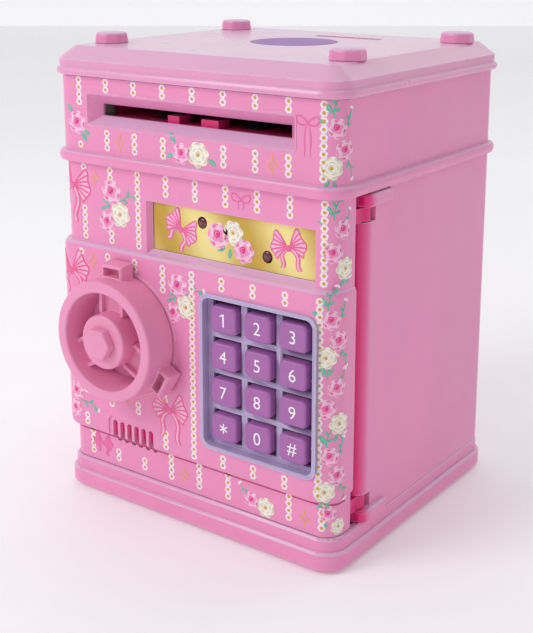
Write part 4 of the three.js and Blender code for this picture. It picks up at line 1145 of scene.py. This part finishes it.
def print_panel():
    front = node_span("status_panel", 1)[0]
    sheet = Print("panel", "door", 0.0, flat_y=front)
    bow(sheet, -5.4, 115.9, 7.9, -26, tail_length=0.9)
    bow(sheet, 43.2, 116.6, 7.7, 10, tail_length=1.05)
    leaf(sheet, 15.6, 112.6, 4.2, 205)
    leaf(sheet, 17.8, 112.4, 4.0, 262)
    rose(sheet, 19.0, 118.4, 4.7, 0.2, cream=True)
    rose(sheet, 12.2, 116.4, 5.1, 0.5)
    rose(sheet, 23.8, 112.4, 4.6, 1.0)
    sheet.build()


def print_safe():
    sheet = Print("safe", "door", SAFE, hinge_inset=SAFE_INSET)
    blocked = [margin_round("keypad_frame", 2, 0.4, 2, 2), disc(KNOB_X, KNOB_Z, 26.5),
               rectangle(-42, -14, 20, 38.5), disc(-56, 94, 7), disc(-7.5, 43, 6.5),
               disc(-3, 90, 6.5), disc(-56.5, 38, 6)]
    daisy_columns(sheet, Z_BAND, Z_SAFE - 2.2, blocked)
    sparkle(sheet, -46.0, 98.6, 6.6)
    bow(sheet, -57.8, 92.6, 9.6, 8, tail_length=1.1)
    posy(sheet, -1.6, 91.6, 0.92)
    for z, flip in ((90.2, False), (65.6, True), (40.4, False)):
        corner_spray(sheet, z, 7.6, flip, shift=-0.4)
    rose(sheet, -57.6, 42.4, 4.0, 0.3)
    rose(sheet, -58.6, 34.6, 3.8, 1.0)
    sprig(sheet, -55.5, 38.5, 9.5, -12)
    leaf(sheet, -54.6, 45.0, 3.6, 40)
    sparkle(sheet, -29.8, 45.2, 5.4)
    bow(sheet, -8.0, 45.4, 8.8, 0, tail_length=1.45)
    sheet.build()


def print_band():
    sheet = Print("band", "door", BAND)
    blocked = [disc(31.5, 18, 8.5), rectangle(-43, -14, 21, 27), disc(-47.5, 19, 4.4)]
    daisy_columns(sheet, DOOR_BOTTOM, Z_BAND, blocked)
    # painted shadow: a dark pink line under the proud middle section's lower edge
    step = 0.8
    shadow = [(-66 + step * i, Z_BAND - step) for i in range(170)]
    sheet.stroke("shadow_line", shadow, 0.8, 0, taper=False)
    bow(sheet, -46.6, 20.8, 5.2, 0, tail_length=0.9, colours=("ribbon_soft", "ribbon_soft"))
    sparkle(sheet, -3.6, 19.4, 6.4)
    sparkle(sheet, 52.2, 18.6, 6.4)
    sprig(sheet, 27.6, 20.2, 5.2, 140, leaves=2)
    rose(sheet, 28.6, 18.6, 3.4, 0.2)
    rose(sheet, 35.0, 17.4, 4.0, 0.6, cream=True)
    rose(sheet, FLAT_HALF + 4.6, 22.4, 3.3, 0.4)
    rose(sheet, FLAT_HALF + 8.6, 17.0, 3.2, 0.8, cream=True)
    leaf(sheet, FLAT_HALF + 4.0, 19.0, 3.6, 250)
    sheet.build()


# ---- Stage ----


CAMERA = {"place": (0.2673, -0.3669, 0.2229), "yaw": 0.631, "pitch": 0.232, "lens": 66.73,
          "shift": -0.17}


STAGE_SIZE = 12.0
BACKDROP_Y = 3.0
LIGHTS = {  # place, size and power
    "key": ((-0.55, -0.95, 0.85), 0.6, 6.3),
    "fill": ((0.95, -0.45, 0.5), 0.8, 0.15),
    "top": ((0.0, 0.1, 1.15), 0.8, 0.9),
    "back": ((0.3, 1.0, 0.7), 0.8, 1.0),
}
LIGHT_AIM = Vector((0, 0, 0.09))


def place_sheet(name, n, rough, glow, location, rotation=(0, 0, 0)):
    """A wide pale sheet that glows faintly, so that no dark horizon shows."""
    n.shade("Roughness", rough)
    n.shade("Emission Strength", glow)
    bpy.ops.mesh.primitive_plane_add(size=STAGE_SIZE, location=location, rotation=rotation)
    sheet = bpy.context.object
    sheet.name = name
    sheet.data.materials.append(n.material)


def build_stage():
    n = Nodes("floor_pale")
    clouds = n.vary(n.noise(2.0), 0.0, 1.0)
    n.shade("Base Color", n.mix(clouds, linear(240, 240, 243), linear(246, 246, 248)))
    n.shade("Emission Color", (1.0, 1.0, 1.0, 1.0))
    place_sheet("floor", n, 0.7, 0.14, (0, 0, -0.0002))

    n = Nodes("backdrop_pale")
    tone = n.mix(n.noise(1.5), linear(244, 244, 246), linear(248, 248, 250))
    n.shade("Base Color", tone)
    n.shade("Emission Color", tone)
    place_sheet("backdrop", n, 0.9, 0.3, (0, BACKDROP_Y, 0), (pi / 2, 0, CAMERA["yaw"]))


def build_light():
    scene = bpy.context.scene
    world = bpy.data.worlds.new("studio")
    world.use_nodes = True
    background = world.node_tree.nodes["Background"]
    background.inputs["Color"].default_value = (1.0, 0.985, 0.99, 1.0)
    background.inputs["Strength"].default_value = 0.52
    scene.world = world
    scene.view_settings.view_transform = "Standard"
    for name, (place, size, power) in LIGHTS.items():
        data = bpy.data.lights.new(name, "AREA")
        data.size = size
        data.energy = power
        lamp = bpy.data.objects.new(name, data)
        lamp.location = place
        lamp.rotation_euler = (LIGHT_AIM - Vector(place)).to_track_quat("-Z", "Y").to_euler()
        scene.collection.objects.link(lamp)


def build_camera():
    data = bpy.data.cameras.new("camera")
    data.sensor_width = 36.0
    data.lens = CAMERA["lens"]
    data.shift_y = CAMERA["shift"]
    camera = bpy.data.objects.new("camera", data)
    camera.location = CAMERA["place"]
    camera.rotation_euler = (pi / 2 - CAMERA["pitch"], 0, CAMERA["yaw"])
    bpy.context.scene.collection.objects.link(camera)
    bpy.context.scene.camera = camera


build_shells()
finish_plain_nodes()
build_grille_backing()
build_guide_ribs()
build_cover_lip()
build_label()
build_lid_bolts()
build_knob()
build_knob_cap()
build_keys()
build_leds()
print_upper()
print_head()
print_panel()
print_safe()
print_band()
build_stage()
build_light()
build_camera()
